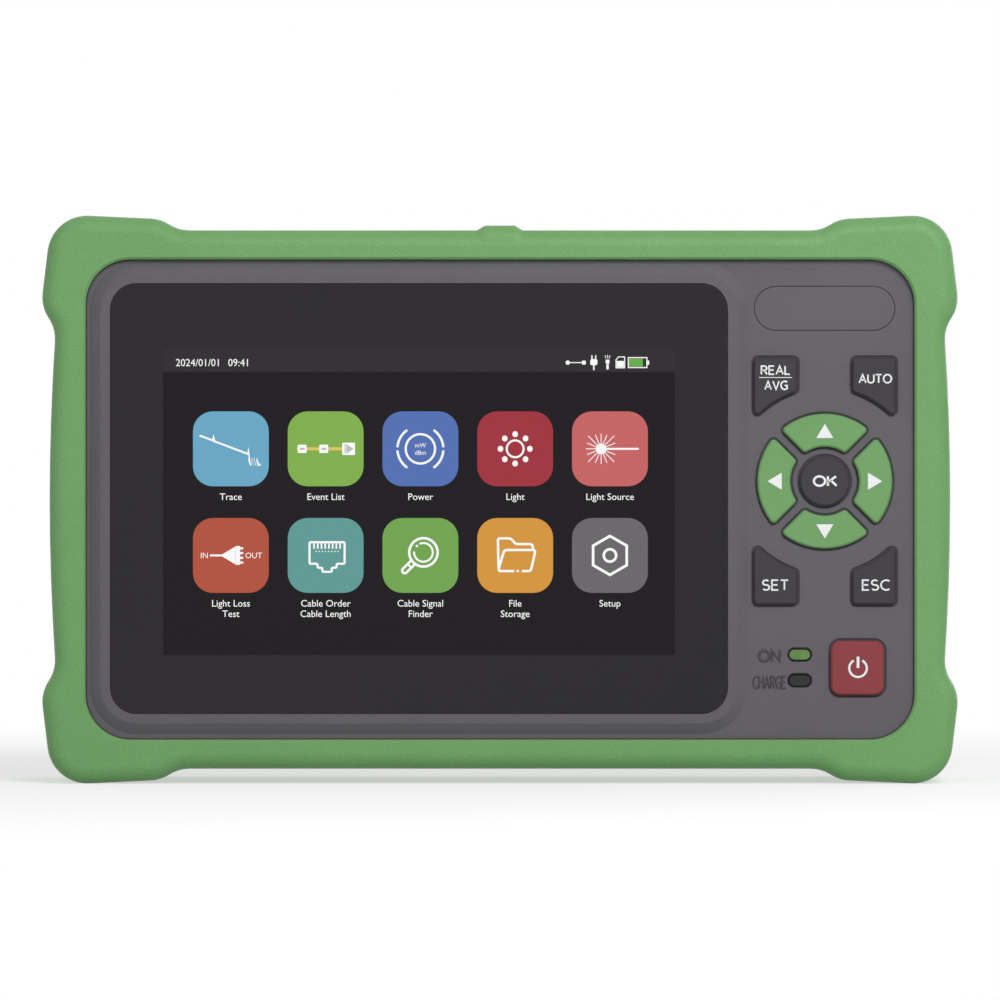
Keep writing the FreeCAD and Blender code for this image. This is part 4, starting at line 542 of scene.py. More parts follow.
def start_material(name, **constants):
    """A new finish, kept under its name: a Principled shader with its fixed numbers on its own sockets."""
    material = bpy.data.materials.new(name)
    tree = empty_tree(material)
    fixed = {title.replace("_", " "): value for title, value in constants.items()}
    shader = add(tree, "BsdfPrincipled", fixed)
    add(tree, "OutputMaterial", {"Surface": shader.outputs["BSDF"]})
    FINISH[name] = material
    return tree, shader


BLOTCH_SHARE = 0.25  # how far a blotch carries the colour to the shade


def moulded(name, base, shade, light, rough, fineness=3000.0, depth=0.00002, edge=0.0006,
            hollow=0.35, lit=0.4, fleck=0.0, gloss=0.5):
    """Moulded plastic or rubber: base darkens to shade in hollows and blotches, and lightens at edges, a
    painted highlight.
    """
    tree, shader = start_material(name, Specular_IOR_Level=gloss)
    skin = use(tree, grain, Fineness=fineness, Depth=depth)
    hand = use(tree, marks)
    rim = use(tree, edges, Width=edge)
    body = mix(tree, spread(tree, skin.outputs["Hills"], hollow, 0.0), base, shade)
    body = mix(tree, times(tree, hand.outputs["Fleck"], fleck), body, light)
    body = mix(tree, times(tree, hand.outputs["Blotch"], BLOTCH_SHARE), body, shade)
    # Painted highlight: edges lightened towards the light colour.
    body = mix(tree, times(tree, rim.outputs["Edge"], lit), body, light)
    feed(tree, shader, Base_Color=body, Roughness=spread(tree, hand.outputs["Blotch"], *rough),
         Normal=skin.outputs["Normal"])
    return FINISH[name]


# %% [markdown]
# Each moulded part gets its own colours (base, shade and light), range of roughness and grain. Depths
# are in metres: the rubber's grain is under a twentieth of a millimetre deep. The dark finishes reflect
# less, because in a white room a strong reflection would lay a grey veil over them.

# %% Moulded finishes
# The bumper's edges are lightened over a wide band towards its light colour: a painted highlight.
moulded("bumper_rubber", (112, 164, 101), (98, 147, 88), (132, 182, 122), (0.40, 0.50),
        fineness=2900.0, depth=0.000045, edge=0.0012, fleck=0.3, gloss=0.27)
moulded("panel_plastic", (98, 95, 100), (88, 85, 90), (112, 109, 114), (0.5, 0.6),
        fineness=3200.0, gloss=0.25)
moulded("dark_plastic", (62, 60, 64), (48, 46, 50), (84, 82, 86), (0.45, 0.6), gloss=0.3)
moulded("black_plastic", (26, 26, 28), (19, 19, 21), (50, 50, 52), (0.35, 0.5),
        fineness=3500.0, depth=0.000012, gloss=0.3)
moulded("black_rubber", (44, 43, 45), (32, 31, 33), (60, 59, 61), (0.65, 0.8),
        fineness=2400.0, depth=0.00003, gloss=0.3)
KEY_SKIN = {"fineness": 4200.0, "depth": 0.00001, "gloss": 0.25}
moulded("green_key", (112, 160, 101), (102, 149, 91), (124, 171, 114), (0.48, 0.58),
        edge=0.0004, hollow=0.15, **KEY_SKIN)
# The dark keys' edges are lightened more strongly: a painted highlight on their bevels.
moulded("dark_key", (58, 55, 60), (50, 47, 52), (84, 81, 87), (0.45, 0.56),
        edge=0.0005, hollow=0.2, lit=0.55, **KEY_SKIN)
moulded("red_key", (139, 60, 66), (126, 52, 57), (158, 84, 88), (0.42, 0.54),
        edge=0.0005, hollow=0.2, **KEY_SKIN)
moulded("ceramic_white", (236, 234, 228), (218, 215, 208), (245, 244, 240), (0.18, 0.26),
        fineness=6000.0, depth=0.000003, gloss=0.6)
moulded("battery_wrap", (58, 92, 148), (44, 74, 124), (92, 124, 172), (0.3, 0.42),
        fineness=260.0, depth=0.00012, hollow=0.2)
print("moulded finishes:", len(FINISH))

# %% [markdown]
# Metal parts are turned, stamped or plated. Fine scratches from tools run mostly one way, so the noise
# is stretched along one axis before it drives roughness and a shallow bump.

# %% Metal finishes
DRAWN_OUT = (1.0, 1.0, 14.0)  # how much closer the noise repeats along each axis
SCRATCH_SCALE, SCRATCH_DEPTH = 900.0, 0.000004


def metal(name, colour, shade, rough):
    """Bare or plated metal: a stretched noise lightens, dulls and scratches it along one direction."""
    tree, shader = start_material(name, Metallic=1.0)
    drawn = add(tree, "Mapping", {"Vector": on_object(tree), "Scale": DRAWN_OUT})
    lines = add(tree, "TexNoise", {"Vector": drawn.outputs["Vector"], "Scale": SCRATCH_SCALE,
                                    "Detail": 5.0})
    hand = use(tree, marks, Size=60.0)
    bump = add(tree, "Bump", {"Height": lines.outputs["Fac"], "Distance": SCRATCH_DEPTH})
    feed(tree, shader, Base_Color=mix(tree, lines.outputs["Fac"], colour, shade),
         Roughness=spread(tree, hand.outputs["Blotch"], *rough), Normal=bump.outputs["Normal"])


metal("steel", (196, 196, 198), (168, 168, 171), (0.25, 0.4))
metal("nickel", (206, 202, 194), (182, 178, 170), (0.16, 0.3))
metal("gold", (232, 192, 112), (205, 162, 84), (0.2, 0.32))
metal("aluminium", (200, 202, 205), (176, 178, 182), (0.35, 0.5))
print("finishes:", len(FINISH))

# %% [markdown]
# The window is black from behind and hard-coated in front. It is bonded to the display, so it has one
# reflection only, from its front face. Faint wiping marks change how sharp that reflection is. What the
# display shows gives its own light, cut by the fine grid of its picture.

# %% Window and lit layers
DOT = 0.27  # spacing of the display's dots in millimetres
WINDOW_ROUGH = (0.05, 0.13)


def window(name, colour):
    """Black glass with a trace of grey and softly uneven gloss."""
    tree, shader = start_material(name, Specular_IOR_Level=0.3)
    wiped = use(tree, marks, Size=18.0).outputs["Blotch"]
    shade = tuple(0.86 * value for value in colour)
    feed(tree, shader, Base_Color=mix(tree, wiped, colour, shade),
         Roughness=spread(tree, wiped, *WINDOW_ROUGH))


def lit_layer(name, colour):
    """A colour shown by the display: it gives its own light, faintly cut by the grid of the picture."""
    tree, shader = start_material(name, Emission_Strength=1.0, Specular_IOR_Level=0.12,
                                  Base_Color=(0.004, 0.004, 0.004, 1.0))
    wiped = use(tree, marks, Size=18.0).outputs["Blotch"]
    dots = add(tree, "TexVoronoi", {"Vector": on_object(tree), "Scale": 1.0 / (DOT * MM)})
    fade = spread(tree, dots.outputs["Distance"], 0.0, 0.06)
    feed(tree, shader, Emission_Color=mix(tree, fade, colour, (0, 0, 0)),
         Roughness=spread(tree, wiped, *WINDOW_ROUGH))
    return FINISH[name]


window("dark_glass", (26, 21, 27))
window("display", (22, 22, 26))
print("window roughness:", WINDOW_ROUGH)


# %% [markdown]
# The two lamps look out through little frosted windows. ON is lit: its glow falls off from the middle
# of the window to its rim, measured in the window's own size. CHARGE is off. The clear silicone behind
# the keys and the bodies of the lamps are plain moulded finishes like those above.

# %% Lamp windows and silicone
def lens_plastic(name, colour, core, glow, node):
    """A coloured light guide: frosted skin, and a glow that falls off from the middle of its node."""
    tree, shader = start_material(name, Emission_Strength=glow, Specular_IOR_Level=0.3)
    low, high = (np.array(corner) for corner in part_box(node))
    middle = add(tree, "Mapping", {"Vector": on_object(tree), "Location": (low + high) / 2,
                                   "Scale": (high - low) / 2}, vector_type="TEXTURE")
    away = add(tree, "VectorMath", {0: middle.outputs["Vector"]}, operation="LENGTH")
    fall = spread(tree, away.outputs["Value"], 1.0, 0.0, 0.9, 1.7)
    skin = use(tree, grain, Fineness=5000.0, Depth=0.000008)
    hand = use(tree, marks, Size=400.0)
    feed(tree, shader, Base_Color=mix(tree, hand.outputs["Blotch"], colour, core),
         Emission_Color=mix(tree, fall, colour, core),
         Roughness=spread(tree, skin.outputs["Hills"], 0.3, 0.5), Normal=skin.outputs["Normal"])


lens_plastic("on_window", (70, 96, 56), (92, 128, 66), 0.3, "on_indicator")
lens_plastic("charge_window", (40, 37, 40), (34, 32, 35), 0.0, "charge_indicator")
moulded("clear_silicone", (206, 208, 204), (186, 188, 184), (224, 226, 222), (0.4, 0.5), fineness=1200.0)
moulded("lamp", (214, 214, 204), (190, 190, 180), (230, 230, 224), (0.2, 0.3),
        fineness=5000.0, depth=0.000003)
print("finishes:", len(FINISH))

# %% [markdown]
# A circuit board is green lacquer over copper tracks. A brick pattern of long thin cells stands for the
# tracks: they show as slightly lighter green, raised by the thickness of the copper.

# %% Circuit board finish
TRACK_HEIGHT = 0.00004
tree, shader = start_material("board", Coat_Weight=0.4, Coat_Roughness=0.15)
turned = add(tree, "Mapping", {"Vector": on_object(tree), "Rotation": (math.pi / 2, 0.0, 0.0)})
tracks = add(tree, "TexBrick", {"Vector": turned.outputs["Vector"], "Scale": 60.0, "Mortar Size": 0.008,
                                "Mortar Smooth": 0.1, "Row Height": 0.1})
hand = use(tree, marks, Size=90.0)
green = mix(tree, tracks.outputs["Fac"], (24, 84, 48), (58, 128, 82))
green = mix(tree, hand.outputs["Fleck"], green, (20, 74, 42))
bump = add(tree, "Bump", {"Height": tracks.outputs["Fac"], "Distance": TRACK_HEIGHT})
feed(tree, shader, Base_Color=green, Roughness=spread(tree, hand.outputs["Blotch"], 0.28, 0.4),
     Normal=bump.outputs["Normal"])
print("finishes:", len(FINISH))

# %% [markdown]
# Every node of the solid model comes with slots named after its finishes. The shapes are right as they
# are, so they stay, and each slot just takes the finish of its name.

# %% Give every node its finish
places = [place for node in NODES.values() for place in node.material_slots]
for place in places:
    place.material = FINISH[place.material.name.split(".")[0]]
print("slots dressed:", len(places))

# %% [markdown]
# ## The lit screen
# The display shows a menu: a bar with the time and signs along the top, and ten rounded tiles, each
# with a white sign and a word. In the real part this is light from the display. Here each layer
# is a thin sheet on the window, a few hundredths of a millimetre before the one below. Sheets are used
# and not a pattern in the window's material, because their edges stay sharp from any distance.

# %% Display area and status bar
glass_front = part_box("screen_lens")[0][1] / MM
LAYER = 0.03  # between one layer of the picture and the next
DISPLAY = (-17.1, 59.5)  # its middle
DISPLAY_SIZE = (108.0, 64.6)
SHARP = 0.2  # corner radius of the display and its bar
BAR_HEIGHT = 4.9
BAR_LEVEL = 88.9  # height of the middle of what the bar shows
CLOCK_HIGH, CLOCK_NARROW = 1.5, 0.95
LEVEL = [glass_front - LAYER * step for step in range(1, 6)]
ground = lit_layer("screen_ground", (21, 15, 21))
bar = lit_layer("screen_bar", (44, 40, 45))
white = lit_layer("screen_white", (252, 252, 252))
flat_piece("screen_ground", [slab(*DISPLAY_SIZE, SHARP)], DISPLAY, LEVEL[0], ground)
bar_middle = (DISPLAY[0], DISPLAY[1] + (DISPLAY_SIZE[1] - BAR_HEIGHT) / 2)
flat_piece("screen_bar", [slab(DISPLAY_SIZE[0], BAR_HEIGHT, SHARP)], bar_middle, LEVEL[1], bar)
for word, text, across in (("clock", "09:41", -55.1), ("date", "2024/01/01", -63.7)):
    caption("screen_" + word, text, CLOCK_HIGH, (across, BAR_LEVEL), LEVEL[2], white, CLOCK_NARROW)
print("layers of the picture:", [round(level, 2) for level in LEVEL])

# %% [markdown]
# The tiles stand in two rows of five. Each has a colour of its own, and one or two lines of words below
# it: a slash in the table parts the lines.

# %% Tiles
TILE = (16.0, 15.8)
TILE_ROUND = 4.2
COLUMNS = -16.8 + 20.0 * np.arange(-2, 3)
ROWS = (70.7, 48.2)
CAPTION_HIGH = 1.38
CAPTION_DROP, CAPTION_STEP = 10.1, 2.2  # from a tile's middle to its words, and from line to line
TILES = [
    ("trace", "Trace", (104, 168, 198)), ("events", "Event List", (128, 176, 76)),
    ("power", "Power", (82, 112, 180)), ("light", "Light", (160, 48, 60)),
    ("source", "Light Source", (199, 100, 100)), ("loss", "Light Loss/Test", (178, 82, 60)),
    ("cable", "Cable Order/Cable Length", (95, 154, 150)), ("finder", "Cable Signal/Finder", (113, 165, 78)),
    ("files", "File/Storage", (214, 150, 60)), ("setup", "Setup", (106, 103, 106)),
]
CENTRE = {}
for number, (word, label, colour) in enumerate(TILES):
    middle = (float(COLUMNS[number % 5]), ROWS[number // 5])
    CENTRE[word] = middle
    flat_piece("tile_" + word, [slab(*TILE, TILE_ROUND)], middle, LEVEL[1],
               lit_layer("tile_" + word, colour))
    for line, part in enumerate(label.split("/")):
        caption("caption_" + word + "_" + str(line), part, CAPTION_HIGH,
                (middle[0], middle[1] - CAPTION_DROP - CAPTION_STEP * line), LEVEL[2], white)
print("tiles:", len(CENTRE))


# %% [markdown]
# The signs are drawn from strokes, rings and rounded slabs, all grids as above, with sizes read in
# millimetres from the middle of the tile. A sign whose parts have one colour is one mesh.

# %% Signs of the upper row
def sign(word, grids, material=white, level=2):
    """The grids as one piece, at the middle that goes with the first part of its name."""
    flat_piece("sign_" + word, grids, CENTRE[word.split("_")[0]], LEVEL[level], material)


def sign_word(tile, word, text, height, across, up=0):
    """A word of a sign, off the middle of its tile."""
    middle = CENTRE[tile]
    caption("sign_" + tile + "_" + word, text, height, (middle[0] + across, middle[1] + up), LEVEL[2], white)


LINE, BOLD, RAY = 0.4, 0.5, 0.17  # widths of lines
UNIT_HIGH, WORD_HIGH = 0.9, 1.15  # heights of letters
sign("trace", [
    stroke([(-6.6, 2.8), (-3.75, 1.75), (-3.65, 3), (-3.5, 1.6), (3.65, -1.1), (3.75, 0.3), (3.9, -2.6),
            (4.2, -3.5), (4.45, -1.9), (4.65, -3.6), (4.95, -1.8), (5.2, -3.5), (5.5, -2), (5.75, -3.4),
            (6.3, -3.3)], LINE)])
yellow = lit_layer("screen_yellow", (222, 198, 100))
grey = lit_layer("screen_grey", (190, 190, 194))
sign("events_line", [stroke([(-6.1, 0), (3.8, 0)], 0.64)], yellow)
sign("events", [slab(1.85, 1.75, 0.15, -4.95), slab(1.85, 1.75, 0.15, -0.4),
                slab(2.7, 2.6, 0.2, 4.85)], level=3)
sign("events_ends", [wedge((5.9, 0), (4.4, 0), 2), slab(0.25, 2, 0.05, 4.15),
                     slab(1.1, 0.45, 0.2, -4.95), slab(1.1, 0.45, 0.2, -0.4)], grey, level=4)
sign("power", [band(3.1, 0.46)]
     + [band(4.85, 0.48, start, start + 51, steps=16) for start in (4, 125, 184, 305)])
for unit, up in (("mW", 0.75), ("dBm", -0.8)):
    sign_word("power", unit, unit, UNIT_HIGH, 0, up)
turns = np.arange(8) * np.pi / 4
sign("light", [band(1.78, 0.42)]
     + [slab(1.15, 1.25, 0.57, 3.1 * np.cos(turn), 3.1 * np.sin(turn)) for turn in turns])
rays_out = np.arange(16) * np.pi / 8
sign("source", [slab(2.2, 2.2, 1.09, -1.85), stroke([(-1, 0), (6.1, 0)], LINE)]
     + [stroke(np.outer([0.8, reach], [np.cos(turn), np.sin(turn)]), RAY, -1.85)
        for turn, reach in zip(rays_out, np.tile([3.2, 3.2, 3.9, 3.2], 4))])
print("signs so far:", count("sign_"))


# %% [markdown]
# Some signs of the lower row are bent lines with soft corners. A corner is eased by a small quadratic
# arc, which needs only the two sides it joins; a true fillet would need their angle as well.

# %% Eased corners
def eased(corners, reach, closed=True, steps=5):
    """A path whose corners are quadratic arcs between points at reach along their two sides."""
    path = np.array(corners, dtype=float)
    before, after = np.roll(path, 1, axis=0) - path, np.roll(path, -1, axis=0) - path
    first = path + before * (reach / np.linalg.norm(before, axis=1, keepdims=True))
    last = path + after * (reach / np.linalg.norm(after, axis=1, keepdims=True))
    t = np.linspace(0.0, 1.0, steps)[:, None]
    arcs = (1 - t) ** 2 * first[:, None] + 2 * t * (1 - t) * path[:, None] + t ** 2 * last[:, None]
    if not closed:
        return np.concatenate([path[:1], arcs[1:-1].reshape(-1, 2), path[-1:]])
    return arcs.reshape(-1, 2)


# %% Signs of the lower row
sign("loss", [stroke([(-4.4, 0), (-1.4, 0)], 0.42), wedge((-2.2, 0), (0.9, 0), 3.7),
              slab(1, 3.95, 0.1, 1.45)]
     + [slab(0.7, 0.45, 0.05, 2.25, up) for up in (-1.5, -0.5, 0.5, 1.5)])
sign_word("loss", "in", "IN", WORD_HIGH, -5.6)
sign_word("loss", "out", "OUT", WORD_HIGH, 4.8)
jack = [(-3.4, 2.8), (4, 2.8), (4, -1.75), (2.3, -1.75), (2.3, -2.6), (1.3, -2.6), (1.3, -3.45),
        (-0.7, -3.45), (-0.7, -2.6), (-1.7, -2.6), (-1.7, -1.75), (-3.4, -1.75)]
sign("cable", [stroke(eased(jack, 0.3), 0.45, closed=True)]
     + [stroke([(across, 2.6), (across, 1.4)], 0.34) for across in np.linspace(-2.45, 3.05, 8)]
     + [slab(0.26, 0.26, 0.1, across, 0.85) for across in np.linspace(-2, 2.6, 8)])
HANDLE_HALF = 0.55
AXIS = np.array([-1, -1]) / math.sqrt(2)
ACROSS = HANDLE_HALF * np.array([1, -1]) / math.sqrt(2)
handle_start, handle_end = np.array([-1.6, -1.5]), np.array([-3.3, -3.2])
handle_bow = bow(handle_end, (HANDLE_HALF, HANDLE_HALF), -45, -225)
sign("finder", [band(3, 0.52, across=0.64, up=0.65), band(1.97, 0.42, 175, 475, 0.64, 0.65),
                slab(0.52, 0.52, 0.25, -0.74, 2),
                stroke(path(handle_start + ACROSS, handle_bow, handle_start - ACROSS), BOLD),
                stroke([handle_start + AXIS - ACROSS, handle_start + AXIS + ACROSS], LINE)])
folder = [(-3.5, -2.6), (-3.65, 3.6), (-0.9, 3.6), (0.1, 2.4), (3.6, 2.4), (3.8, 1.3)]
folder_front = [(-0.2, -3.3), (-3.6, -3.3), (-2.3, 1.15), (4.3, 1.15), (3.3, -3.3), (1.4, -3.3)]
sign("files", [stroke(eased(folder, 0.5, closed=False), BOLD),
               stroke(eased(folder_front, 0.6, closed=False), BOLD), slab(0.55, 0.5, 0.24, 0.55, -3.3)])
corner = np.radians(90 + 60 * np.arange(6))
sign("setup", [stroke(np.stack([4.1 * np.cos(corner), 4.1 * np.sin(corner)], axis=1), 0.55, closed=True),
               band(1.3, 0.54)])
print("signs on tiles:", count("sign_"))


# %% [markdown]
# The status bar has five signs: the battery with its green charge, a memory card, a torch, a mains plug
# and a line with two ends for a connected cable. They are drawn like the others, only smaller.

# %% Signs of the status bar
for word, across in (("battery", 29.1), ("card", 25.4), ("torch", 22.7), ("plug", 19.8), ("link", 15.9)):
    CENTRE[word] = (across, BAR_LEVEL)
FINE = 0.15
cell = lit_layer("screen_cell", (104, 172, 72))
battery = [(-2, -1.05), (1.9, -1.05), (1.9, 1.05), (-2, 1.05)]
card = [(-0.9, -1.1), (0.9, -1.1), (0.9, 1.2), (-0.4, 1.2), (-0.9, 0.6)]
sign("battery", [stroke(battery, 0.22, closed=True), slab(0.35, 0.9, 0.1, 2.2)])
sign("battery_charge", [slab(2.9, 1.7, 0.1, -0.4)], cell)
sign("card", [stroke(card, 0.2, closed=True), slab(1.5, 1.3, 0.1, 0, -0.3)])
sign("torch", [slab(0.8, 0.9, 0.2, 0, 0.2), slab(0.5, 1.1, 0.1, 0, -0.9),
              stroke([(-0.5, 1.5), (-0.35, 0.9)], FINE), stroke([(0.5, 1.5), (0.35, 0.9)], FINE),
              stroke([(0, 1.6), (0, 0.95)], FINE)])
sign("plug", [slab(1.5, 1.3, 0.4, 0, 0.1), slab(0.25, 0.9, 0.05, -0.4, 1.1),
              slab(0.25, 0.9, 0.05, 0.4, 1.1), stroke([(0, -0.5), (0, -1.6)], 0.3)])
sign("link", [slab(0.9, 0.9, 0.44, -1.6), stroke([(-1.3, 0), (1.6, 0)], 0.2), slab(0.8, 0.8, 0.05, 1.8)])
print("signs:", count("sign_"))

# %% [markdown]
# ## Printing on the keys
# The keys are silicone with words and arrows printed in white. Each print is a thin patch that rides
# on its own key, so it moves when the key is pressed. The four arrows stand round the middle of the pad.

# %% Printed arrows
key_print = moulded("key_print", (238, 239, 239), (226, 227, 228), (246, 246, 246), (0.5, 0.6),
                    fineness=4200.0, depth=0.000005, hollow=0.3)
key_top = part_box("key_ok")[0][1] / MM - LAYER
PAD = (68.55, 63.87)  # middle of the pad
ARROW_FROM, ARROW_TO, ARROW_WIDTH = 9.1, 12.1, 3.6
for word, way in (("right", (1, 0)), ("up", (0, 1)), ("left", (-1, 0)), ("down", (0, -1))):
    way = np.array(way)
    flat_piece("print_" + word, [wedge(way * ARROW_TO, way * ARROW_FROM, ARROW_WIDTH)], PAD, key_top,
               key_print, "key_" + word)
print("level of the prints:", round(key_top, 2))

# %% Printed words and signs
LEGENDS = [  # piece, word, size, middle, key, weight of line
    ("ok", "OK", (5.2, 2.45), (68.6, 63.9), "key_ok", 0.46),
    ("real", "REAL", (6.3, 2.05), (58.15, 87.3), "key_real_avg", 0.32),
    ("avg", "AVG", (5.0, 2.05), (58.25, 84.1), "key_real_avg", 0.32),
    ("auto", "AUTO", (7.1, 2.05), (79.2, 85.5), "key_auto", 0.32),
    ("set", "SET", (5.7, 2.4), (58.1, 41.95), "key_set", 0.33),
    ("esc", "ESC", (5.9, 2.4), (79.3, 41.95), "key_esc", 0.33),
]
for word, text, size, middle, body, weight in LEGENDS:
    lettering("print_" + word, text, size, middle, key_top, weight, key_print, body)
flat_piece("print_rule", [slab(7.0, 0.15, 0.07)], (58.15, 85.75), key_top, key_print, "key_real_avg")
flat_piece("print_power", [band(1.85, 0.46, 119.0, 421.0), stroke([(0.0, 0.05), (0.0, 2.45)], 0.56)],
           (75.55, 24.4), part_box("key_power")[0][1] / MM - LAYER, key_print, "key_power")
print("prints:", count("print_"))

# %% [markdown]
# ON and CHARGE aren't printed: they stand up from the panel. Their plastic is made darker than the panel as
# painted shade, and their lighter edges are a painted highlight; with their shading that makes them readable.
# Each stroke is crowned, and its foot lies just inside the panel so that no gap shows.

# %% Raised words
FOOT = 0.02  # how far a raised piece reaches into the panel
WORDS_ACROSS, LAMPS_ACROSS = 56.9, 63.3
panel_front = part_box("charge_indicator")[0][1] / MM
# Darker than the panel plastic: painted shade on the raised letters, with lighter edges as a painted
# highlight.
raised = moulded("raised_letters", (80, 77, 82), (66, 64, 68), (112, 109, 114), (0.5, 0.6),
                 fineness=3200.0, edge=0.0003, gloss=0.25)
for text, size, height, weight, dome in (("ON", (5.0, 2.9), 27.0, 0.66, 0.32),
                                         ("CHARGE", (7.2, 2.85), 21.4, 0.36, 0.3)):
    lettering("letters_" + text.lower(), text, size, (WORDS_ACROSS, height), panel_front + FOOT, weight,
              raised, dome=dome)
print("level of the panel:", round(panel_front, 2))


# %% [markdown]
# ## Small trim
# A thin dark lip lies in the joint between the bumper and the panel, a painted shadow line, and each lamp
# window sits in a dark rim. Both are beads: a quarter of an ellipse carried along a rounded rectangle.

# %% Beads along a rounded rectangle
def rounded_path(width, height, radius, steps=10):
    """Points round a rounded rectangle, and the outward direction at each, from four corner arcs."""
    turn = np.linspace(0.0, np.pi / 2, steps)
    angle = (turn + np.arange(4)[:, None] * np.pi / 2).ravel()
    out = np.stack([np.cos(angle), np.sin(angle)], axis=1)
    side = np.repeat(np.array([(1, 1), (-1, 1), (-1, -1), (1, -1)]), steps, axis=0)
    points = side * (width / 2 - radius, height / 2 - radius) + radius * out
    return np.concatenate([points, points[:1]]), np.concatenate([out, out[:1]])


def bead(name, size, middle, level, reach, rise, material):
    """A bead: standing rise high at the path, it falls to nothing at reach across, as an ellipse does."""
    points, out = rounded_path(*size)
    turn = np.linspace(0.0, np.pi / 2, 6)
    flat = points[:, None, :] + out[:, None, :] * (reach * np.sin(turn))[:, None]
    x, z = middle[0] + flat[..., 0], middle[1] + flat[..., 1]
    y = level - rise * np.cos(turn) + np.zeros_like(x)
    grid_piece(name, [(x, y, z, area_of(x, z) < 0)], material)


# %% Shadow lip and rims
SHADOW_LIP = (175.0, 101.4, 9.5)  # width, height and corner radius
LAMP_RIM = (4.94, 2.7, 1.34)
# A dark bead where the bumper meets the panel: a painted shadow line.
bead("window_lip", SHADOW_LIP, (0.0, 60.0), panel_front, -0.25, 0.32, FINISH["dark_plastic"])
rim = moulded("lamp_rim", (18, 16, 18), (12, 11, 12), (40, 39, 41), (0.5, 0.6), fineness=3500.0,
              depth=0.00001, gloss=0.1)
for word, height in (("on", 27.25), ("charge", 21.8)):
    bead(word + "_rim", LAMP_RIM, (LAMPS_ACROSS, height), panel_front + FOOT, -0.32, 0.1, rim)
print("beads:", count("window_lip") + count("on_rim") + count("charge_rim"))

# %% [markdown]
# An oval is engraved above the keys, a groove 0.3 mm wide and deep. A thin dark line lies inside the
# groove as painted shade, so the outline stays readable from a distance.

# %% Painted shade line in the engraved oval
OVAL = (29.7, 9.3)  # along the middle of the groove
OVAL_MIDDLE = (68.55, 100.37)
OVAL_SHADE_WIDTH, OVAL_DEPTH = 0.28, 0.1
points, _ = rounded_path(*OVAL, OVAL[1] / 2 - 0.001, steps=16)
oval_shade_ring = stroke(points[:-1], OVAL_SHADE_WIDTH, closed=True)
# A dark ring in the groove: painted shade.
flat_piece("oval_line", [oval_shade_ring], OVAL_MIDDLE, panel_front + OVAL_DEPTH, FINISH["dark_plastic"])
print("points round the oval:", len(points) - 1)


# %% [markdown]
# The keys stand in openings a little larger than themselves. In the gap, just below the front, lies a grey
# ring standing for the thin web of the silicone pad; its grey stands in for the gap's shade, a painted shade.
# Each web is a ring that follows its key: the key's own front face gives the outline, put in order by angle,
# and the ring is carried outward from it.

# %% The outline of a key
def front_outline(node):
    """The rim of a node's front face: the corners of edges that only one foremost triangle has."""
    mesh = NODES[node].data
    mesh.calc_loop_triangles()
    corners = points_of(mesh) / MM
    triangles = np.empty(len(mesh.loop_triangles) * 3, dtype=int)
    mesh.loop_triangles.foreach_get("vertices", triangles)
    places, same = np.unique(np.round(corners, 4), axis=0, return_inverse=True)
    triangles = same.ravel()[triangles].reshape(-1, 3)
    flat = triangles[(places[triangles][:, :, 1] < corners[:, 1].min() + 0.001).all(axis=1)]
    edges_of = np.sort(np.concatenate([flat[:, [0, 1]], flat[:, [1, 2]], flat[:, [2, 0]]]), axis=1)
    pairs, counts = np.unique(edges_of, axis=0, return_counts=True)
    rim = places[np.unique(pairs[counts == 1])][:, [0, 2]]
    away = rim - (rim.min(axis=0) + rim.max(axis=0)) / 2
    return rim[np.argsort(np.arctan2(away[:, 1], away[:, 0]))]


# %% Webs round the keys: painted shade in their gaps
KEY_EASE = 0.35  # bevel between a key's front face and its side
KEY_GAP = 0.34
GAP_SHADE_DEPTH = 0.3
# The web's grey stands for the shade in the key gaps: painted shade.
gap_shade = moulded("key_web", (74, 70, 75), (62, 59, 63), (86, 83, 88), (0.55, 0.65), fineness=4200.0,
              depth=0.00001, gloss=0.2)
for node in [name for name in NODES if name.startswith("key_")]:
    outline = front_outline(node)
    outer = stroke(outline, 2 * (KEY_EASE + KEY_GAP), closed=True)
    inner = stroke(outline, 2 * KEY_EASE, closed=True)
    ring = [np.stack([far[:, 0], near[:, 0]], axis=1) for far, near in zip(outer, inner)]
    flat_piece("web_" + node, [ring], (0.0, 0.0), panel_front + GAP_SHADE_DEPTH, gap_shade)
print("webs:", count("web_"))

# %% [markdown]
# In the middle of the top edge a low ridge leads the thumb to the tab of the bay door. It grows out of
# the bumper's rounding. Its height across is a smooth step down to each side, and it fades in along the
# way from the front face over the rounding.

# %% The line that the ridge follows
EDGE_TOP = 116.9  # top of the bumper between its pads
ROUND = 3.4  # its rounding
RIDGE = 1.05  # its height
RIDGE_TOP, RIDGE_FOOT = 2.9, 5.2  # its half widths
RIDGE_END = -12.4  # where the door's own tab takes over
RIDGE_SUNK, RIDGE_CLOSED = 0.03, 0.5  # how far its skin and its end reach into the bumper


def ease(value):
    """A smooth step from 0 to 1."""
    value = np.clip(value, 0.0, 1.0)
    return value * value * (3.0 - 2.0 * value)


front = CAD_BOX[0][1] / MM
turn = np.linspace(0.0, np.pi / 2, 25)
run = np.linspace(0.0, 1.0, 8)[1:]
way_y = np.concatenate([front + ROUND - ROUND * np.cos(turn),
                        front + ROUND + run * (RIDGE_END - front - ROUND)])
way_z = np.concatenate([EDGE_TOP - ROUND + ROUND * np.sin(turn), np.full(run.size, EDGE_TOP)])
out_y = np.concatenate([-np.cos(turn), np.zeros(run.size)])
out_z = np.concatenate([np.sin(turn), np.ones(run.size)])
grown = np.concatenate([ease(turn - 0.15), np.ones(run.size)])
print("points along the ridge:", len(grown))

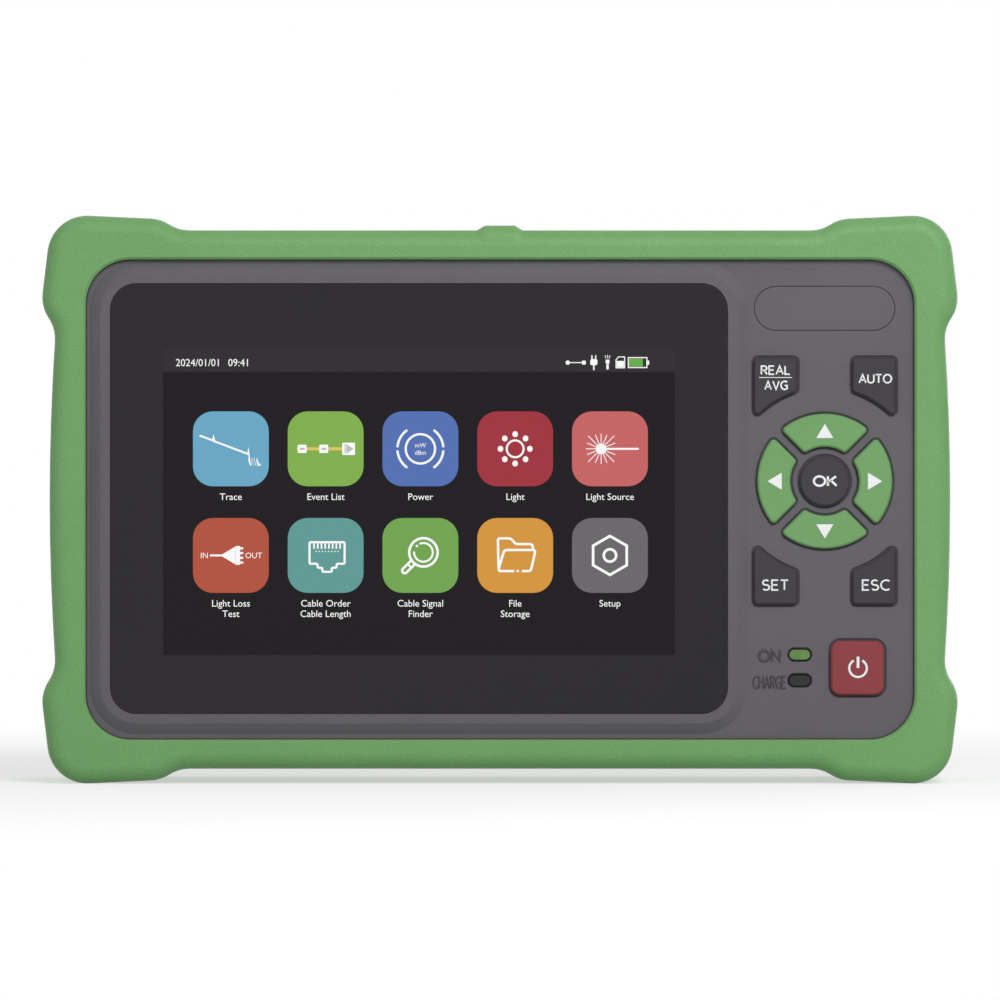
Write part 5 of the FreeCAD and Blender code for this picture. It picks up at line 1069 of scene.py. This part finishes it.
# %% Thumb ridge
x = np.linspace(-RIDGE_FOOT, RIDGE_FOOT, 41)
fall = ease((RIDGE_FOOT - np.abs(x)) / (RIDGE_FOOT - RIDGE_TOP))
height = RIDGE * grown[:, None] * fall - RIDGE_SUNK
ridge_y = way_y[:, None] + out_y[:, None] * height
ridge_z = way_z[:, None] + out_z[:, None] * height
ridge_y = np.concatenate([ridge_y, ridge_y[-1:]])
ridge_z = np.concatenate([ridge_z, np.full((1, x.size), EDGE_TOP - RIDGE_CLOSED)])
ridge = grid_piece("thumb_ridge", [(np.broadcast_to(x, ridge_y.shape), ridge_y, ridge_z, False)],
                   FINISH["bumper_rubber"])
ridge.data.polygons.foreach_set("use_smooth", [True] * len(ridge.data.polygons))
print("ridge top:", round(float(ridge_z.max()), 2))

# %% [markdown]
# ## Floor
# The floor is a sheet of white paper, a single quad at the level of the tester's feet.

# %% Floor sheet
FLOOR_REACH = 3.0
floor_mesh = bpy.data.meshes.new("floor")
side = np.array([-FLOOR_REACH, FLOOR_REACH])
floor_x, floor_y = np.meshgrid(side, side)
corners = np.stack([floor_x.ravel(), floor_y.ravel(), np.full(4, CAD_BOX[0][2])], axis=1)
floor_mesh.from_pydata(corners.tolist(), [], faces_of(2, 2, 0, False).tolist())
floor = add_object("floor", floor_mesh)
print("floor level:", CAD_BOX[0][2])

# %% [markdown]
# Near the tester the paper takes a soft shadow; farther off it turns to the even white of the
# background, so that no horizon shows. To the rays that only carry light it is a plain pale sheet, which
# throws some light up under the bumper.

# %% Floor paper
SHADE_ENDS = (0.16, 0.4)  # metres from the middle of the tester
PAPER_BOUNCE = (0.75, 0.75, 0.75, 1.0)
PAPER_SHADED = (0.5, 0.5, 0.5, 1.0)
PAPER_GLOW = 0.55  # with the shaded part it comes to about white
paper = bpy.data.materials.new("paper")
tree = empty_tree(paper)
away = add(tree, "VectorMath", {0: on_object(tree)}, operation="LENGTH")
fade = spread(tree, away.outputs["Value"], 0.0, 1.0, *SHADE_ENDS)
sheet = add(tree, "BsdfDiffuse", {"Color": PAPER_SHADED})
shine = add(tree, "Emission", {"Strength": PAPER_GLOW})
near = add(tree, "AddShader", {0: sheet.outputs[0], 1: shine.outputs[0]})
plain = add(tree, "Emission", {"Strength": 1.0})
shown = add(tree, "MixShader", {0: fade, 1: near.outputs[0], 2: plain.outputs[0]})
matte = add(tree, "BsdfDiffuse", {"Color": PAPER_BOUNCE})
both = add(tree, "MixShader", {0: background_rays(tree), 1: matte.outputs[0], 2: shown.outputs[0]})
add(tree, "OutputMaterial", {"Surface": both.outputs[0]})
floor_mesh.materials.append(paper)
print("materials:", len(bpy.data.materials))
